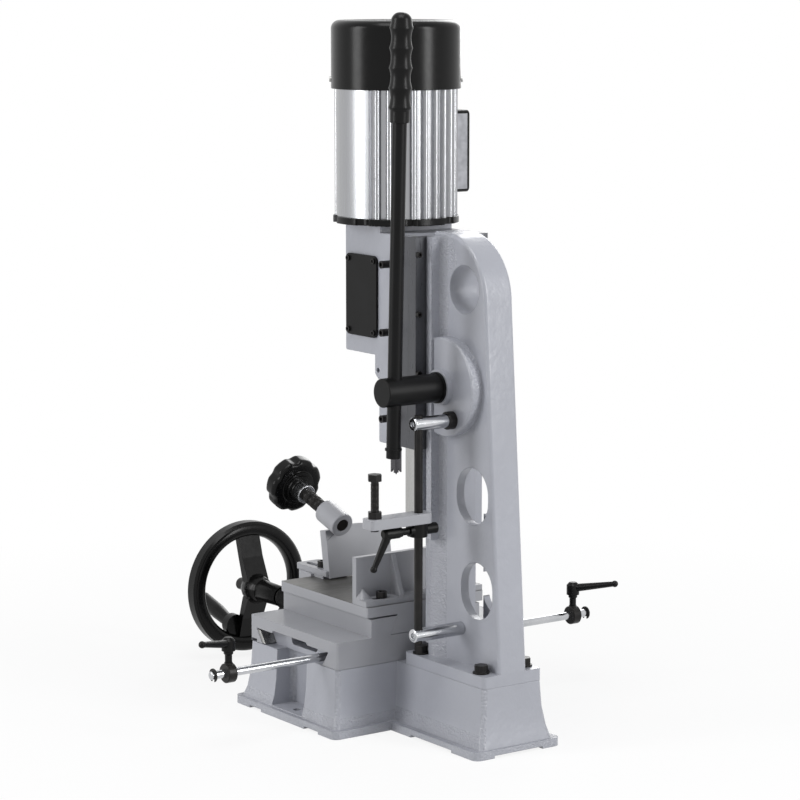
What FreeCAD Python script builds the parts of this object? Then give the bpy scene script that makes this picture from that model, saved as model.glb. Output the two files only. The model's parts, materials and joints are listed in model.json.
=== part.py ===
import FreeCAD, Part
import math
import os

os.makedirs("parts", exist_ok=True)

V = FreeCAD.Vector
X_AXIS = V(1, 0, 0)
Y_AXIS = V(0, 1, 0)
Z_AXIS = V(0, 0, 1)

# Frame: X to the operator's right, Y to the rear, Z up, origin midway between the two bench bolts.

# Clearances
run_fit = 0.06
slide_gap = 0.3

# Base casting
pedestal_half_x = 128.5
pedestal_half_y = 95.0
pedestal_top = 79.0
foot_spread = 15.0
foot_thick = 10.0
base_wall = 11.0
bay_wall_x = 105.0
bay_front = -35.0
bay_rear = 30.0
bench_bolt_x = 123.0
bench_bolt_r = 5.0
rear_foot_half = 62.0
rear_foot_end = 278.0
pad_relief = 3.0

# Cross way on the base
way_half_x = 112.0
way_root_half = 62.0
way_top_half = 74.0
way_height = 16.5

# Column
column_half = 42.0
column_front = 109.0
column_rear = 266.0
column_foot_thick = 14.3
column_top = 595.0
column_crown_r = 77.0
column_rear_at_crown = 236.0
web_half = 20.0
column_web_thick = 11.0
column_wall = 9.0
column_lip = 194.0
high_hole_y = 196.5
high_hole_z = 532.0
high_hole_r = 28.0
mid_hole_y = 213.0
mid_hole_z = 294.0
low_hole_y = 222.0
low_hole_z = 184.0
low_hole_half_y = 30.0
low_hole_half_z = 33.5
plate_half = 41.0
plate_front = 110.0
plate_back = 134.0
neck_half = 26.0
neck_back = 146.0
rib_half = 37.0
rib_back = 156.0
rib_blend = 8.0
way_low = 235.0
way_high = 590.0
foot_bolt_r = 5.0

# Lever drive
drive_y = 173.0
drive_z = 418.0
gear_module = 2.0
gear_teeth = 43
gear_width = 20.0
gear_backlash = 0.3
rack_sunk = 6.0
rack_half_width = 8.0
drive_shaft_r = 9.0
housing_r = 58.0
housing_face = 34.0
boss_r = 21.0
boss_face = 41.0
bush_wall = 3.0
head_travel = 80.0

# Lever
hub_r = 16.75
hub_end = 119.5
lever_x = 101.5
lever_r = 8.25
lever_lean = 1.9
lever_down = 77.0
lever_up = 430.0
grip_length = 123.0
grip_r = 13.5

# Head casting
head_half = 52.0
head_front = 3.0
head_back = 72.0
head_low = 445.0
head_high = 598.0
head_wall = 9.0
head_roof = 14.0
carriage_low = 342.0
carriage_high = 590.0
cheek_step = 0.5
keeper_thick = 11.0
keeper_x = 48.6
gib_thick = 4.0
set_screw_r = 4.5
set_screw_length = 20.0
gib_screw_y = 94.0
tab_low = 417.0
tab_y = 69.7
cover_front = 7.0
cover_back = 70.0
cover_low = 465.0
cover_high = 562.0
cover_thick = 3.0
small_screw_r = 2.0

# Spindle line
spindle_y = 33.0
motor_shaft_r = 7.0
pilot_r = 14.0
chisel_width = 9.5
chisel_tip = 294.6
chisel_bore_r = 3.6
chisel_shank_r = 6.5
holder_r = 15.0
holder_low = 350.0

# Motor
motor_r = 73.0
motor_core_r = 67.0
motor_wall = 5.0
motor_low = 606.0
motor_high = 756.0
motor_bearing_r = 11.0
rib_count = 30
rib_width = 8.0
panel_r = 71.5
panel_half_turn = 31.0
cap_r = 77.0
cap_high = 836.0
cap_wall = 3.0
switch_face = 88.0
switch_low = 631.0
switch_high = 729.0
switch_half_y = 28.0

# Saddle
saddle_top = 111.8
saddle_rail_half = 80.0
saddle_rail_top = 134.0
tongue_top_half = 42.0
tongue_foot_half = 51.0
cross_gib_thick = 6.0
cross_screw_r = 4.0
cross_screw_z = 87.0

# Table
table_half = 85.8
table_front = -92.0
table_rear = 95.0
table_bottom = 136.0
table_top = 148.6

# Fence
fence_y = 64.0
fence_rear = 93.0
fence_thick = 8.0
fence_top = 205.5
fence_flange = 7.0
fence_rib_x = 33.0
fence_slot_x = 57.0
fence_slot_length = 26.0
fence_screw_y = 83.0
table_screw_r = 4.0

# Work clamp
jaw_left = -61.0
jaw_right = 34.0
jaw_y = -60.0
jaw_thick = 8.0
jaw_lean = 9.0
jaw_end_top = 196.0
jaw_crown_top = 214.0
clamp_foot_left = 2.0
clamp_foot_right = 38.0
clamp_foot_low = 152.0
clamp_foot_thick = 7.0
clamp_lug_front = -132.0
clamp_screw_x = 25.0
clamp_screw_y = -90.0
clamp_boss_x = 22.0
clamp_boss_y = -50.0
clamp_boss_z = 217.5
clamp_boss_r = 15.0
clamp_boss_length = 40.0
clamp_tilt = 18.3
clamp_screw_rod_r = 8.0
clamp_knob_out = 116.0
clamp_knob_r = 36.0
clamp_knob_thick = 22.0
pad_thick = 4.0

# Cross feed and handwheel
feed_z = 93.0
feed_module = 1.5
feed_teeth = 16
feed_rack_y = -87.0
feed_rack_width = 10.0
feed_shaft_r = 8.0
bracket_r = 15.0
bracket_length = 118.0
wheel_y = -308.0
wheel_r = 86.0
rim_width = 20.0
rim_thick = 12.0
wheel_hub_length = 86.0
spoke_count = 2
spoke_width = 32.0
spoke_thick = 9.0
grip_knob_r = 10.0
grip_knob_length = 75.0
grip_knob_out = 54.0
grip_knob_turn = -70.0
grip_knob_lean = 17.0
grip_pin_r = 4.0

# Stop rods
stop_rod_r = 5.0
stop_rod_y = 58.0
stop_rod_z = 88.0
stop_rod_end = 281.0
stop_rod_sunk = 18.0
stop_ring_x = 276.0
collar_centre = 256.0
collar_length = 12.0
collar_r = 11.5

# Depth stop
guide_x = 82.0
guide_y = 193.0
guide_r = 5.0
stud_r = 8.0
stud_root_r = 6.0
upper_stud_z = 382.0
lower_stud_z = 135.0
stud_end = 90.5
depth_arm_low = 267.0
depth_arm_thick = 12.0
depth_arm_reach = 61.0
depth_arm_width = 22.0
depth_bolt_r = 4.5
depth_bolt_stand = 63.0
depth_collar_r = 10.5
depth_collar_length = 15.5
lever_pin_r = 3.0


def box(x0, x1, y0, y1, z0, z1):
    return Part.makeBox(x1 - x0, y1 - y0, z1 - z0, V(x0, y0, z0))


def rod(r, start, direction, length):
    return Part.makeCylinder(r, length, V(*start), direction)


def tube(outer, inner, start, direction, length):
    return rod(outer, start, direction, length).cut(rod(inner, start, direction, length))


def face_of(points):
    return Part.Face(Part.makePolygon(points + [points[0]]))


def prism_x(outline, x0, x1):
    """A prism along X from an outline of (y, z) points."""
    return face_of([V(x0, y, z) for y, z in outline]).extrude(V(x1 - x0, 0, 0))


def prism_y(outline, y0, y1):
    """A prism along Y from an outline of (x, z) points."""
    return face_of([V(x, y0, z) for x, z in outline]).extrude(V(0, y1 - y0, 0))


def prism_z(outline, z0, z1):
    """A prism along Z from an outline of (x, y) points."""
    return face_of([V(x, y, z0) for x, y in outline]).extrude(V(0, 0, z1 - z0))


def turned(outline, centre=V(0, 0, 0)):
    """A turned piece about a line along Z, from an outline of (radius, z) points."""
    face = face_of([centre + V(r, 0, z) for r, z in outline])
    return face.revolve(centre, Z_AXIS, 360)


def mirrored(half):
    """Close an outline that is given for one side of the middle only."""
    return half + [(-a, b) for a, b in reversed(half)]


def soften(shape, radius, axis, keep=lambda c: True):
    """Round the straight edges that run along an axis, where keep(centre) holds."""
    edges = []
    for edge in shape.Edges:
        if isinstance(edge.Curve, Part.Line) and abs(abs(edge.Curve.Direction.dot(axis)) - 1) < 1e-6:
            if keep(edge.CenterOfMass):
                edges.append(edge)
    return shape.makeFillet(radius, edges)


def soft_box(x0, x1, y0, y1, z0, z1, radius, axis=Z_AXIS):
    return soften(box(x0, x1, y0, y1, z0, z1), radius, axis)


def round_edges(shape, keep=lambda c: True):
    """The circular edges whose centre keep(centre) accepts."""
    return [e for e in shape.Edges if isinstance(e.Curve, Part.Circle) and keep(e.CenterOfMass)]


def round_wire(half_x, y0, y1, z, radius):
    """A rectangle with round corners at height z."""
    plate = soft_box(-half_x, half_x, y0, y1, z, z + 1, radius)
    under = [f for f in plate.Faces if abs(f.CenterOfMass.z - z) < 1e-6][0]
    return under.OuterWire


def flared(sections, radius):
    """A casting wall that flares: sections are (half_x, y0, y1, z) from below."""
    wires = [round_wire(half, y0, y1, z, radius) for half, y0, y1, z in sections]
    return Part.makeLoft(wires, True, True)


def oval_x(y, z, half_y, half_z, x0, x1):
    """A hole along X with round ends above and below."""
    if half_z <= half_y:
        return rod(half_z, (x0, y, z), X_AXIS, x1 - x0)
    ends = [rod(half_y, (x0, y, z + s * (half_z - half_y)), X_AXIS, x1 - x0) for s in (-1, 1)]
    return box(x0, x1, y - half_y, y + half_y, z - half_z + half_y, z + half_z - half_y).fuse(ends)


def hexagon(across_flats, z0, z1):
    reach = across_flats / math.sqrt(3)
    turns = [math.radians(60 * k) for k in range(6)]
    return prism_z([(reach * math.cos(a), reach * math.sin(a)) for a in turns], z0, z1)


def place(shape, start, direction):
    """Turn a piece that was made along +Z, and move it."""
    moved = shape.copy()
    moved.Placement = FreeCAD.Placement(V(*start), FreeCAD.Rotation(Z_AXIS, direction))
    return moved


def socket_screw(r, length, head_r, head_height):
    """A socket cap screw: the head stands on z 0, the shank goes down."""
    socket = hexagon(head_r * 1.1, head_height * 0.4, head_height + 1)
    head = Part.makeCylinder(head_r, head_height).cut(socket)
    return head.fuse(Part.makeCylinder(r, length, V(0, 0, -length)))


def set_screw(inside):
    """One of the head's set screws, sunk to a depth below z 0, with a socket in its end."""
    body = Part.makeCylinder(set_screw_r, set_screw_length, V(0, 0, -inside))
    out = set_screw_length - inside
    return body.cut(hexagon(set_screw_r * 1.1, out - 3, out + 1))


def hex_head(across_flats, height):
    return hexagon(across_flats, 0, height).common(Part.makeCylinder(across_flats * 0.55, height))


def gear_points(module, teeth, backlash):
    """Outline of a spur gear with 20 degree involute flanks and a tooth centred on angle 0."""
    pitch_r = module * teeth / 2
    base_r = pitch_r * math.cos(math.radians(20))
    root_r = pitch_r - 1.25 * module
    half = (math.pi * module / 2 - backlash) / (2 * pitch_r)
    inv20 = math.tan(math.radians(20)) - math.radians(20)
    flank = []
    for r in (max(base_r, root_r), pitch_r - 0.35 * module, pitch_r + 0.35 * module, pitch_r + module):
        roll = math.acos(min(1.0, base_r / r))
        flank.append((r, half + inv20 - (math.tan(roll) - roll)))
    if root_r < base_r:
        flank.insert(0, (root_r, flank[0][1]))
    points = []
    for k in range(teeth):
        middle = 2 * math.pi * k / teeth
        for r, spread in flank:
            points.append((r * math.cos(middle - spread), r * math.sin(middle - spread)))
        for r, spread in reversed(flank):
            points.append((r * math.cos(middle + spread), r * math.sin(middle + spread)))
    return points


def rack_points(module, low, high, depth, backlash):
    """Outline (along, out) of a rack: pitch line at out 0 and a gap centred on along 0."""
    pitch = math.pi * module
    slope = math.tan(math.radians(20)) * module
    half = (pitch / 2 - backlash) / 2
    points = [(low, -depth), (low, -1.25 * module)]
    for k in range(math.ceil(low / pitch), math.floor(high / pitch)):
        middle = (k + 0.5) * pitch
        points.append((middle - half - 1.25 * slope, -1.25 * module))
        points.append((middle - half + slope, module))
        points.append((middle + half - slope, module))
        points.append((middle + half + 1.25 * slope, -1.25 * module))
    points.append((high, -1.25 * module))
    points.append((high, -depth))
    return points


# Base and column

def base_casting():
    """Flared pedestal with recessed ends, rear foot for the column, and the dovetail way on top."""
    half_x = pedestal_half_x
    half_y = pedestal_half_y
    foot = soft_box(-half_x - foot_spread, half_x + foot_spread, -half_y - foot_spread, half_y + foot_spread,
                    0, foot_thick, 9.0)
    body = flared([(half_x + s, -half_y - s, half_y + s, z) for s, z in
                   ((9.0, foot_thick), (5.0, 22.0), (2.0, 42.0), (0.0, pedestal_top))], 6.0)
    rear_foot = soft_box(-rear_foot_half, rear_foot_half, 0, rear_foot_end, 0, foot_thick, 9.0)
    spread = rear_foot_end - column_rear
    rear = flared([(column_half + s * 1.2, 20, column_rear + s, z) for s, z in
                   ((spread * 0.72, foot_thick), (spread * 0.4, 26.0), (spread * 0.14, 48.0),
                    (0.0, pedestal_top))], 6.0)
    solid = foot.fuse([body, rear_foot, rear])
    for side in (-1, 1):
        x0 = min(side * bay_wall_x, side * 200)
        bay = box(x0, x0 + 200 - bay_wall_x, bay_front, bay_rear, foot_thick + 1, pedestal_top + 1)
        bay = soften(bay, 8.0, Z_AXIS, lambda c: abs(c.x) < half_x)
        solid = solid.cut(bay)
        solid = solid.cut(rod(bench_bolt_r, (side * bench_bolt_x, 0, -1), Z_AXIS, foot_thick + 4))
    inner_x = bay_wall_x - base_wall
    inner_y = half_y - base_wall
    cavity = flared([(inner_x, -inner_y, inner_y, -1),
                     (inner_x, -inner_y, inner_y, pedestal_top - base_wall)], 8.0)
    rear_cavity = box(base_wall - column_half, column_half - base_wall, half_y + base_wall,
                      column_rear - base_wall,
                      -1, pedestal_top - 2 * base_wall)
    solid = solid.cut([cavity, soften(rear_cavity, 8.0, Z_AXIS)])
    reliefs = [box(-200, 200, -75, -50, -1, pad_relief), box(-200, 200, 45, 75, -1, pad_relief),
               box(-200, 200, 150, 230, -1, pad_relief),
               box(-35, 35, -200, rear_foot_end + 5, -1, pad_relief)]
    solid = solid.cut(reliefs)
    way = prism_x(mirrored([(way_root_half, pedestal_top - 1), (way_root_half, pedestal_top),
                            (way_top_half, pedestal_top + way_height)]), -way_half_x, way_half_x)
    channel = box(-200, 200, -28, 28, pedestal_top + 6, pedestal_top + 60)
    solid = solid.fuse(way.cut(soften(channel, 5.0, X_AXIS))).removeSplitter()
    groove = box(-way_half_x, way_half_x, feed_rack_y - feed_rack_width / 2,
                 feed_rack_y + feed_rack_width / 2,
                 rack_floor(), pedestal_top + 1)
    solid = solid.cut(groove)
    for x, y in foot_bolt_places():
        solid = solid.cut(rod(foot_bolt_r, (x, y, pedestal_top - 21), Z_AXIS, 22))
    for side in (-1, 1):
        start = (side * (way_half_x - stop_rod_sunk), stop_rod_y, stop_rod_z)
        solid = solid.cut(rod(stop_rod_r, start, X_AXIS * side, stop_rod_sunk + 1))
    return solid


def rack_floor():
    return feed_z - feed_module * feed_teeth / 2 - 8.0


def feed_rack():
    pitch_z = feed_z - feed_module * feed_teeth / 2
    points = rack_points(feed_module, -way_half_x, way_half_x, pitch_z - rack_floor(), gear_backlash)
    return prism_y([(x, pitch_z + out) for x, out in points], feed_rack_y - feed_rack_width / 2,
                   feed_rack_y + feed_rack_width / 2)


def foot_bolt_places():
    return [(x, y) for x in (11 - column_half, column_half - 11)
            for y in (column_front + 19, column_rear - 20)]


def column_bolts():
    """Hexagon bolts on washers, which hold the column's foot to the base."""
    head = hex_head(15, 8)
    head.translate(V(0, 0, 2))
    washer = Part.makeCylinder(10, 2)
    bolt = washer.fuse([head, Part.makeCylinder(foot_bolt_r, 34, V(0, 0, -34))])
    top = pedestal_top + column_foot_thick
    return Part.makeCompound([place(bolt, (x, y, top), Z_AXIS) for x, y in foot_bolt_places()])


def column_web():
    """Side outline of the column: a straight rear edge that runs into a round crown."""
    low = pedestal_top + column_foot_thick - 1
    crown_y = column_rear_at_crown - column_crown_r
    crown_z = column_top - column_crown_r
    bend = column_crown_r * math.sqrt(0.5)
    arc = Part.Arc(V(0, crown_y, column_top), V(0, crown_y + bend, crown_z + bend),
                   V(0, column_rear_at_crown, crown_z)).toShape()
    corners = [V(0, column_rear_at_crown, crown_z), V(0, column_rear, low), V(0, plate_back + 4, low),
               V(0, plate_back + 4, column_top), V(0, crown_y, column_top)]
    lines = [Part.makeLine(a, b) for a, b in zip(corners, corners[1:])]
    web = Part.Face(Part.Wire([arc] + lines)).extrude(V(2 * web_half, 0, 0))
    web.translate(V(-web_half, 0, 0))
    rim = [e for e in web.Edges if abs(e.CenterOfMass.x) > web_half - 1 and e.CenterOfMass.y > crown_y + 5
           and e.CenterOfMass.z > low + 1]
    return web.makeFillet(4.0, rim)


def column_casting():
    """Column: foot, tapered web with three holes, ways with an undercut, and the gear housing."""
    low = pedestal_top + column_foot_thick - 1
    foot = soft_box(-column_half, column_half, column_front, column_rear, pedestal_top, low + 1, 5.0)
    half = [(plate_half, plate_front), (plate_half, plate_back), (neck_half, plate_back),
            (neck_half, neck_back),
            (rib_half, neck_back), (rib_half, rib_back), (web_half + 6, rib_back),
            (web_half, rib_back + rib_blend)]
    ways = prism_z(mirrored(half), way_low, way_high)
    ways = ways.cut(rod(14.0, (-100, plate_front, way_low), X_AXIS, 200))
    toe = prism_z(mirrored([(web_half + 8, plate_back - 6), (web_half + 8, plate_back + 14),
                            (web_half, rib_back + rib_blend)]),
                  low, way_low + 12)
    toe = soften(toe, 7.0, Z_AXIS, lambda c: c.y < plate_back)
    disc = rod(housing_r, (web_half - 1, drive_y, drive_z), X_AXIS, housing_face - web_half + 1)
    disc = disc.makeFillet(2.5, round_edges(disc, lambda c: abs(c.x - housing_face) < 0.1))
    disc = disc.cut(box(0, housing_face + 1, 0, rib_back - 5, 0, column_top))
    boss = rod(boss_r, (housing_face - 1, drive_y, drive_z), X_AXIS, boss_face - housing_face + 1)
    solid = ways.fuse([foot, column_web(), toe, disc, boss])
    solid = solid.cut(column_room())
    holes = [oval_x(high_hole_y, high_hole_z, high_hole_r, high_hole_r, -web_half - 1, web_half + 1),
             oval_x(mid_hole_y, mid_hole_z, low_hole_half_y, low_hole_half_z, -web_half - 1, web_half + 1),
             oval_x(low_hole_y, low_hole_z, low_hole_half_y, low_hole_half_z, -web_half - 1, web_half + 1)]
    solid = solid.cut(holes)
    room = gear_width / 2 + 2
    cavity = rod(cavity_r(), (-web_half - 20, drive_y, drive_z), X_AXIS, web_half + 20 + room)
    solid = solid.cut(cavity.cut(box(-100, -web_half, 0, rib_back + rib_blend, 0, column_top)))
    slot = box(-room, room, plate_front - 1, plate_back + 1.5, rack_low() - head_travel - 2, rack_high() + 2)
    solid = solid.cut(slot)
    solid = solid.cut(rod(drive_shaft_r + bush_wall, (-web_half - 20, drive_y, drive_z), X_AXIS, 100))
    for z in (upper_stud_z, lower_stud_z):
        solid = solid.cut(rod(stud_root_r, (web_half - 6, guide_y, z), X_AXIS, 60))
    for x, y in foot_bolt_places():
        solid = solid.cut(rod(foot_bolt_r, (x, y, pedestal_top - 1), Z_AXIS, column_foot_thick + 2))
        solid = solid.cut(rod(11.0, (x, y, low + 1), Z_AXIS, 14))
    return solid


def column_room():
    """Room inside the lower column: a slot along its left side, and a core behind the rear flange's lip."""
    low = pedestal_top + column_foot_thick + 28
    high = drive_z - housing_r - 14
    height = column_top - column_crown_r - pedestal_top - column_foot_thick
    lean = (column_rear - column_rear_at_crown) / height
    back = column_rear - column_wall
    far_low = back - (low - pedestal_top - column_foot_thick) * lean
    far_high = back - (high - pedestal_top - column_foot_thick) * lean
    near = rib_back + rib_blend + 3
    inside = web_half - column_web_thick
    slot = box(-web_half - 1, inside, near, column_lip, low, high)
    core = prism_x([(column_lip - 1, low), (far_low, low), (far_high, high), (column_lip - 1, high)],
                   column_wall - web_half, inside)
    return soften(slot, 6.0, X_AXIS, lambda c: c.y < column_lip - 1).fuse(core)


def cavity_r():
    return gear_module * (gear_teeth / 2 + 1) + 2.5


def rack_low():
    return drive_z - 27


def rack_high():
    return drive_z + head_travel + 27


def gear_cover():
    """Round plate with a boss, which closes the gear pocket on the column's left side."""
    plate = rod(housing_r, (-web_half - 5, drive_y, drive_z), X_AXIS, 5)
    boss = rod(boss_r, (-web_half - 12, drive_y, drive_z), X_AXIS, 12)
    cover = plate.fuse(boss).cut(box(-100, 0, 0, rib_back + rib_blend + 0.2, 0, column_top))
    spigot = rod(cavity_r() - 0.2, (-web_half - 1, drive_y, drive_z), X_AXIS, 6)
    cover = cover.fuse(spigot.cut(box(-100, 0, 0, rib_back + rib_blend + 1, 0, column_top)))
    return cover.cut(rod(drive_shaft_r + bush_wall, (-100, drive_y, drive_z), X_AXIS, 100))


def drive_bushes():
    room = gear_width / 2 + 2
    outer = drive_shaft_r + bush_wall
    inner = drive_shaft_r + run_fit
    right = tube(outer, inner, (room, drive_y, drive_z), X_AXIS, boss_face - room)
    left = tube(outer, inner, (-web_half - 12, drive_y, drive_z), X_AXIS, 17)
    return Part.makeCompound([right, left])


def drive_shaft():
    start = -web_half - 14
    shaft = rod(drive_shaft_r, (start, drive_y, drive_z), X_AXIS, hub_end - 8 - start)
    return shaft.cut(lever_core())


def drive_gear():
    """Spur gear of the lever drive, in mesh with the head's rack, with lightening holes."""
    half = gear_width / 2
    points = [(drive_y - a, drive_z - b) for a, b in gear_points(gear_module, gear_teeth, gear_backlash)]
    gear = prism_x(points, -half, half)
    for k in range(5):
        angle = math.radians(36 + 72 * k)
        spot = (-half, drive_y + 26 * math.cos(angle), drive_z + 26 * math.sin(angle))
        gear = gear.cut(rod(8.0, spot, X_AXIS, gear_width))
    return gear.cut(rod(drive_shaft_r, (-half, drive_y, drive_z), X_AXIS, gear_width))


def lever_way():
    lean = math.radians(lever_lean)
    return V(0, math.sin(lean), math.cos(lean))


def lever_centre():
    return V(lever_x, drive_y, drive_z)


def lever_core():
    return Part.makeCylinder(lever_r, 100, lever_centre() - lever_way() * 50, lever_way())


def lever_hub():
    """Hub that clamps the lever, with a thrust collar against the column's boss."""
    start = boss_face + slide_gap
    hub = rod(hub_r, (start, drive_y, drive_z), X_AXIS, hub_end - start)
    hub = hub.makeFillet(1.5, round_edges(hub, lambda c: abs(c.x - hub_end) < 0.1))
    hub = hub.fuse(rod(hub_r + 1.5, (start, drive_y, drive_z), X_AXIS, 3))
    hub = hub.cut(rod(drive_shaft_r, (0, drive_y, drive_z), X_AXIS, hub_end - 8))
    return hub.cut(lever_core())


def lever_bar():
    """The lever: a round bar with a turned lip near its lower end."""
    low = lever_centre() - lever_way() * lever_down
    bar = Part.makeCylinder(lever_r, lever_down + lever_up - 8, low, lever_way())
    lip = Part.makeCylinder(lever_r + 1.6, 2.5, low + lever_way() * 9, lever_way())
    return bar.fuse(lip)


def lever_grip():
    """Turned hand grip: a collar, five finger waves and a round end."""
    waves = 5
    collar = 12.0
    step = (grip_length - collar) / waves
    valley = grip_r - 3.6
    points = [V(lever_r, 0, 0), V(grip_r - 1.5, 0, 0), V(grip_r - 1.5, 0, collar - 3), V(valley, 0, collar)]
    edges = [Part.makeLine(a, b) for a, b in zip(points, points[1:])]
    start = points[-1]
    for k in range(waves):
        top = V(valley, 0, start.z + step) if k < waves - 1 else V(4.0, 0, grip_length)
        edges.append(Part.Arc(start, V(grip_r, 0, start.z + step * 0.5), top).toShape())
        start = top
    bottom = grip_length - 8
    rest = [start, V(0, 0, grip_length), V(0, 0, bottom), V(lever_r, 0, bottom), points[0]]
    edges += [Part.makeLine(a, b) for a, b in zip(rest, rest[1:])]
    grip = Part.Face(Part.Wire(edges)).revolve(V(0, 0, 0), Z_AXIS, 360)
    return place(grip, tuple(lever_centre() + lever_way() * (lever_up - grip_length)), lever_way())


# Depth stop

def stud(z, start):
    """Stud that carries one end of the guide rod: turned root, cross hole and a socket in its end."""
    body = rod(stud_r, (start, guide_y, z), X_AXIS, stud_end - start)
    body = body.makeChamfer(1.0, round_edges(body, lambda c: abs(c.x - stud_end) < 0.1))
    root = rod(stud_root_r, (web_half - 6, guide_y, z), X_AXIS, start - web_half + 6)
    socket = place(hexagon(6, -3, 1), (stud_end, guide_y, z), X_AXIS)
    hole = rod(guide_r, (guide_x, guide_y, z - 20), Z_AXIS, 40)
    return body.fuse(root).cut([socket, hole])


def upper_stud():
    return stud(upper_stud_z, housing_face)


def lower_stud():
    return stud(lower_stud_z, web_half)


def stud_nut():
    return tube(stud_r + 2.5, stud_r, (housing_face, guide_y, upper_stud_z), X_AXIS, 9)


def guide_rod():
    return rod(guide_r, (guide_x, guide_y, lower_stud_z - stud_r - 2), Z_AXIS,
               upper_stud_z - lower_stud_z + 2 * stud_r + 4)


def depth_collar_low():
    return depth_arm_low - slide_gap - depth_collar_length


def depth_collar():
    """Clamp collar on the guide rod, with a boss on each side."""
    middle = depth_collar_low() + depth_collar_length / 2
    ring = rod(depth_collar_r, (guide_x, guide_y, depth_collar_low()), Z_AXIS, depth_collar_length)
    solid = ring.fuse(rod(6.5, (guide_x - 24, guide_y, middle), X_AXIS, 38))
    solid = solid.cut(rod(guide_r + run_fit, (guide_x, guide_y, depth_collar_low() - 1), Z_AXIS, 20))
    return solid.cut(rod(lever_pin_r, (guide_x, guide_y, middle), X_AXIS, 40))


def clamp_lever(pin_length, hub_length, hub_width, handle_length, rise):
    """Adjustable clamp lever: pin down -Z, waisted stem, hub, and a tapered handle that slopes."""
    pin_r = lever_pin_r - run_fit
    body = turned([(0, -pin_length), (pin_r, -pin_length), (pin_r, 0.3), (4.2, 0.3), (4.2, 9), (5.6, 10.5),
                   (5.6, 13),
                   (hub_width, 14), (hub_width, hub_length - 4), (5.4, hub_length - 1), (4, hub_length),
                   (0, hub_length)])
    slope = math.radians(rise)
    way = V(math.cos(slope), 0, math.sin(slope))
    start = V(0, 0, hub_length - 8)
    handle = Part.makeCone(5.2, 3.2, handle_length - 4, start, way)
    tip = Part.makeSphere(4.2, start + way * (handle_length - 4))
    return body.fuse([handle, tip])


def aimed(lever, start, axis, handle):
    """Place a clamp lever: where its pin enters, its pin axis and its handle's heading."""
    z = V(*axis).normalize()
    y = z.cross(V(*handle)).normalize()
    x = y.cross(z)
    moved = lever.copy()
    moved.Placement = FreeCAD.Placement(FreeCAD.Matrix(x.x, y.x, z.x, start[0], x.y, y.y, z.y, start[1],
                                                       x.z, y.z, z.z, start[2], 0, 0, 0, 1))
    return moved


def depth_lever():
    middle = depth_collar_low() + depth_collar_length / 2
    return aimed(clamp_lever(8, 36, 6.5, 48, 28), (guide_x + 14, guide_y, middle), (1, 0, 0), (0, 0, -1))


def depth_arm():
    bar = box(guide_x - 14, guide_x + depth_arm_reach + 11, guide_y - depth_arm_width / 2,
              guide_y + depth_arm_width / 2, depth_arm_low, depth_arm_low + depth_arm_thick)
    bar = soften(bar, 7.0, Z_AXIS, lambda c: c.x < guide_x)
    bar = soften(bar, 4.0, Z_AXIS, lambda c: c.x > guide_x)
    bar = bar.cut(rod(guide_r + run_fit, (guide_x, guide_y, depth_arm_low - 1), Z_AXIS, 20))
    return bar.cut(rod(depth_bolt_r, (guide_x + depth_arm_reach, guide_y, depth_arm_low - 1), Z_AXIS, 20))


def depth_bolt():
    """The stop bolt that stands in the arm, with its hexagon head on top."""
    spot = (guide_x + depth_arm_reach, guide_y, depth_arm_low - 3)
    head_low = depth_arm_low + depth_bolt_stand - 8
    shank = rod(depth_bolt_r, spot, Z_AXIS, head_low - depth_arm_low + 3)
    return shank.fuse(place(hex_head(15, 8), (spot[0], guide_y, head_low), Z_AXIS))


def depth_nut():
    nut = hex_head(15, 8).cut(Part.makeCylinder(depth_bolt_r, 8))
    return place(nut, (guide_x + depth_arm_reach, guide_y, depth_arm_low + depth_arm_thick), Z_AXIS)


# Stop rods

def stop_rods():
    rods = []
    for side in (-1, 1):
        start = way_half_x - stop_rod_sunk
        one = rod(stop_rod_r, (side * start, stop_rod_y, stop_rod_z), X_AXIS * side, stop_rod_end - start)
        one = one.makeChamfer(1.0, round_edges(one, lambda c: abs(c.x) > stop_rod_end - 0.1))
        rods.append(one.cut(tube(stop_rod_r + 1, stop_rod_r - 0.8,
                                 (side * stop_ring_x, stop_rod_y, stop_rod_z),
                                 X_AXIS * side, 1.5)))
    return Part.makeCompound(rods)


def rod_rings():
    rings = []
    for side in (-1, 1):
        ring = tube(stop_rod_r + 3, stop_rod_r - 0.8, (side * stop_ring_x, stop_rod_y, stop_rod_z),
                    X_AXIS * side, 1.5)
        rings.append(ring.cut(box(-300, 300, stop_rod_y - 3, stop_rod_y + 3, stop_rod_z - 10, stop_rod_z)))
    return Part.makeCompound(rings)


def stop_collar(side):
    x0 = side * collar_centre - collar_length / 2
    ring = rod(collar_r, (x0, stop_rod_y, stop_rod_z), X_AXIS, collar_length)
    ring = ring.makeChamfer(1.0, round_edges(ring))
    spot = rod(5.0, (side * collar_centre, stop_rod_y, stop_rod_z), Z_AXIS, collar_r + 1.0)
    bore = rod(stop_rod_r + run_fit, (x0 - 1, stop_rod_y, stop_rod_z), X_AXIS, collar_length + 2)
    tapped = rod(lever_pin_r, (side * collar_centre, stop_rod_y, stop_rod_z), Z_AXIS, 30)
    return ring.fuse(spot).cut([bore, tapped])


def stop_collar_right():
    return stop_collar(1)


def stop_collar_left():
    return stop_collar(-1)


def stop_lever_right():
    lever = clamp_lever(5, 30, 8.0, 62, 11)
    return aimed(lever, (collar_centre, stop_rod_y, stop_rod_z + collar_r + 1.0), (0, 0, 1), (57, 28.5, 0))


def stop_lever_left():
    lever = clamp_lever(5, 30, 8.0, 62, 11)
    return aimed(lever, (-collar_centre, stop_rod_y, stop_rod_z + collar_r + 1.0), (0, 0, 1), (-27.5, 52, 0))


# Saddle and cross feed

def cross_slope():
    return (way_top_half - way_root_half) / way_height


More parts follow.
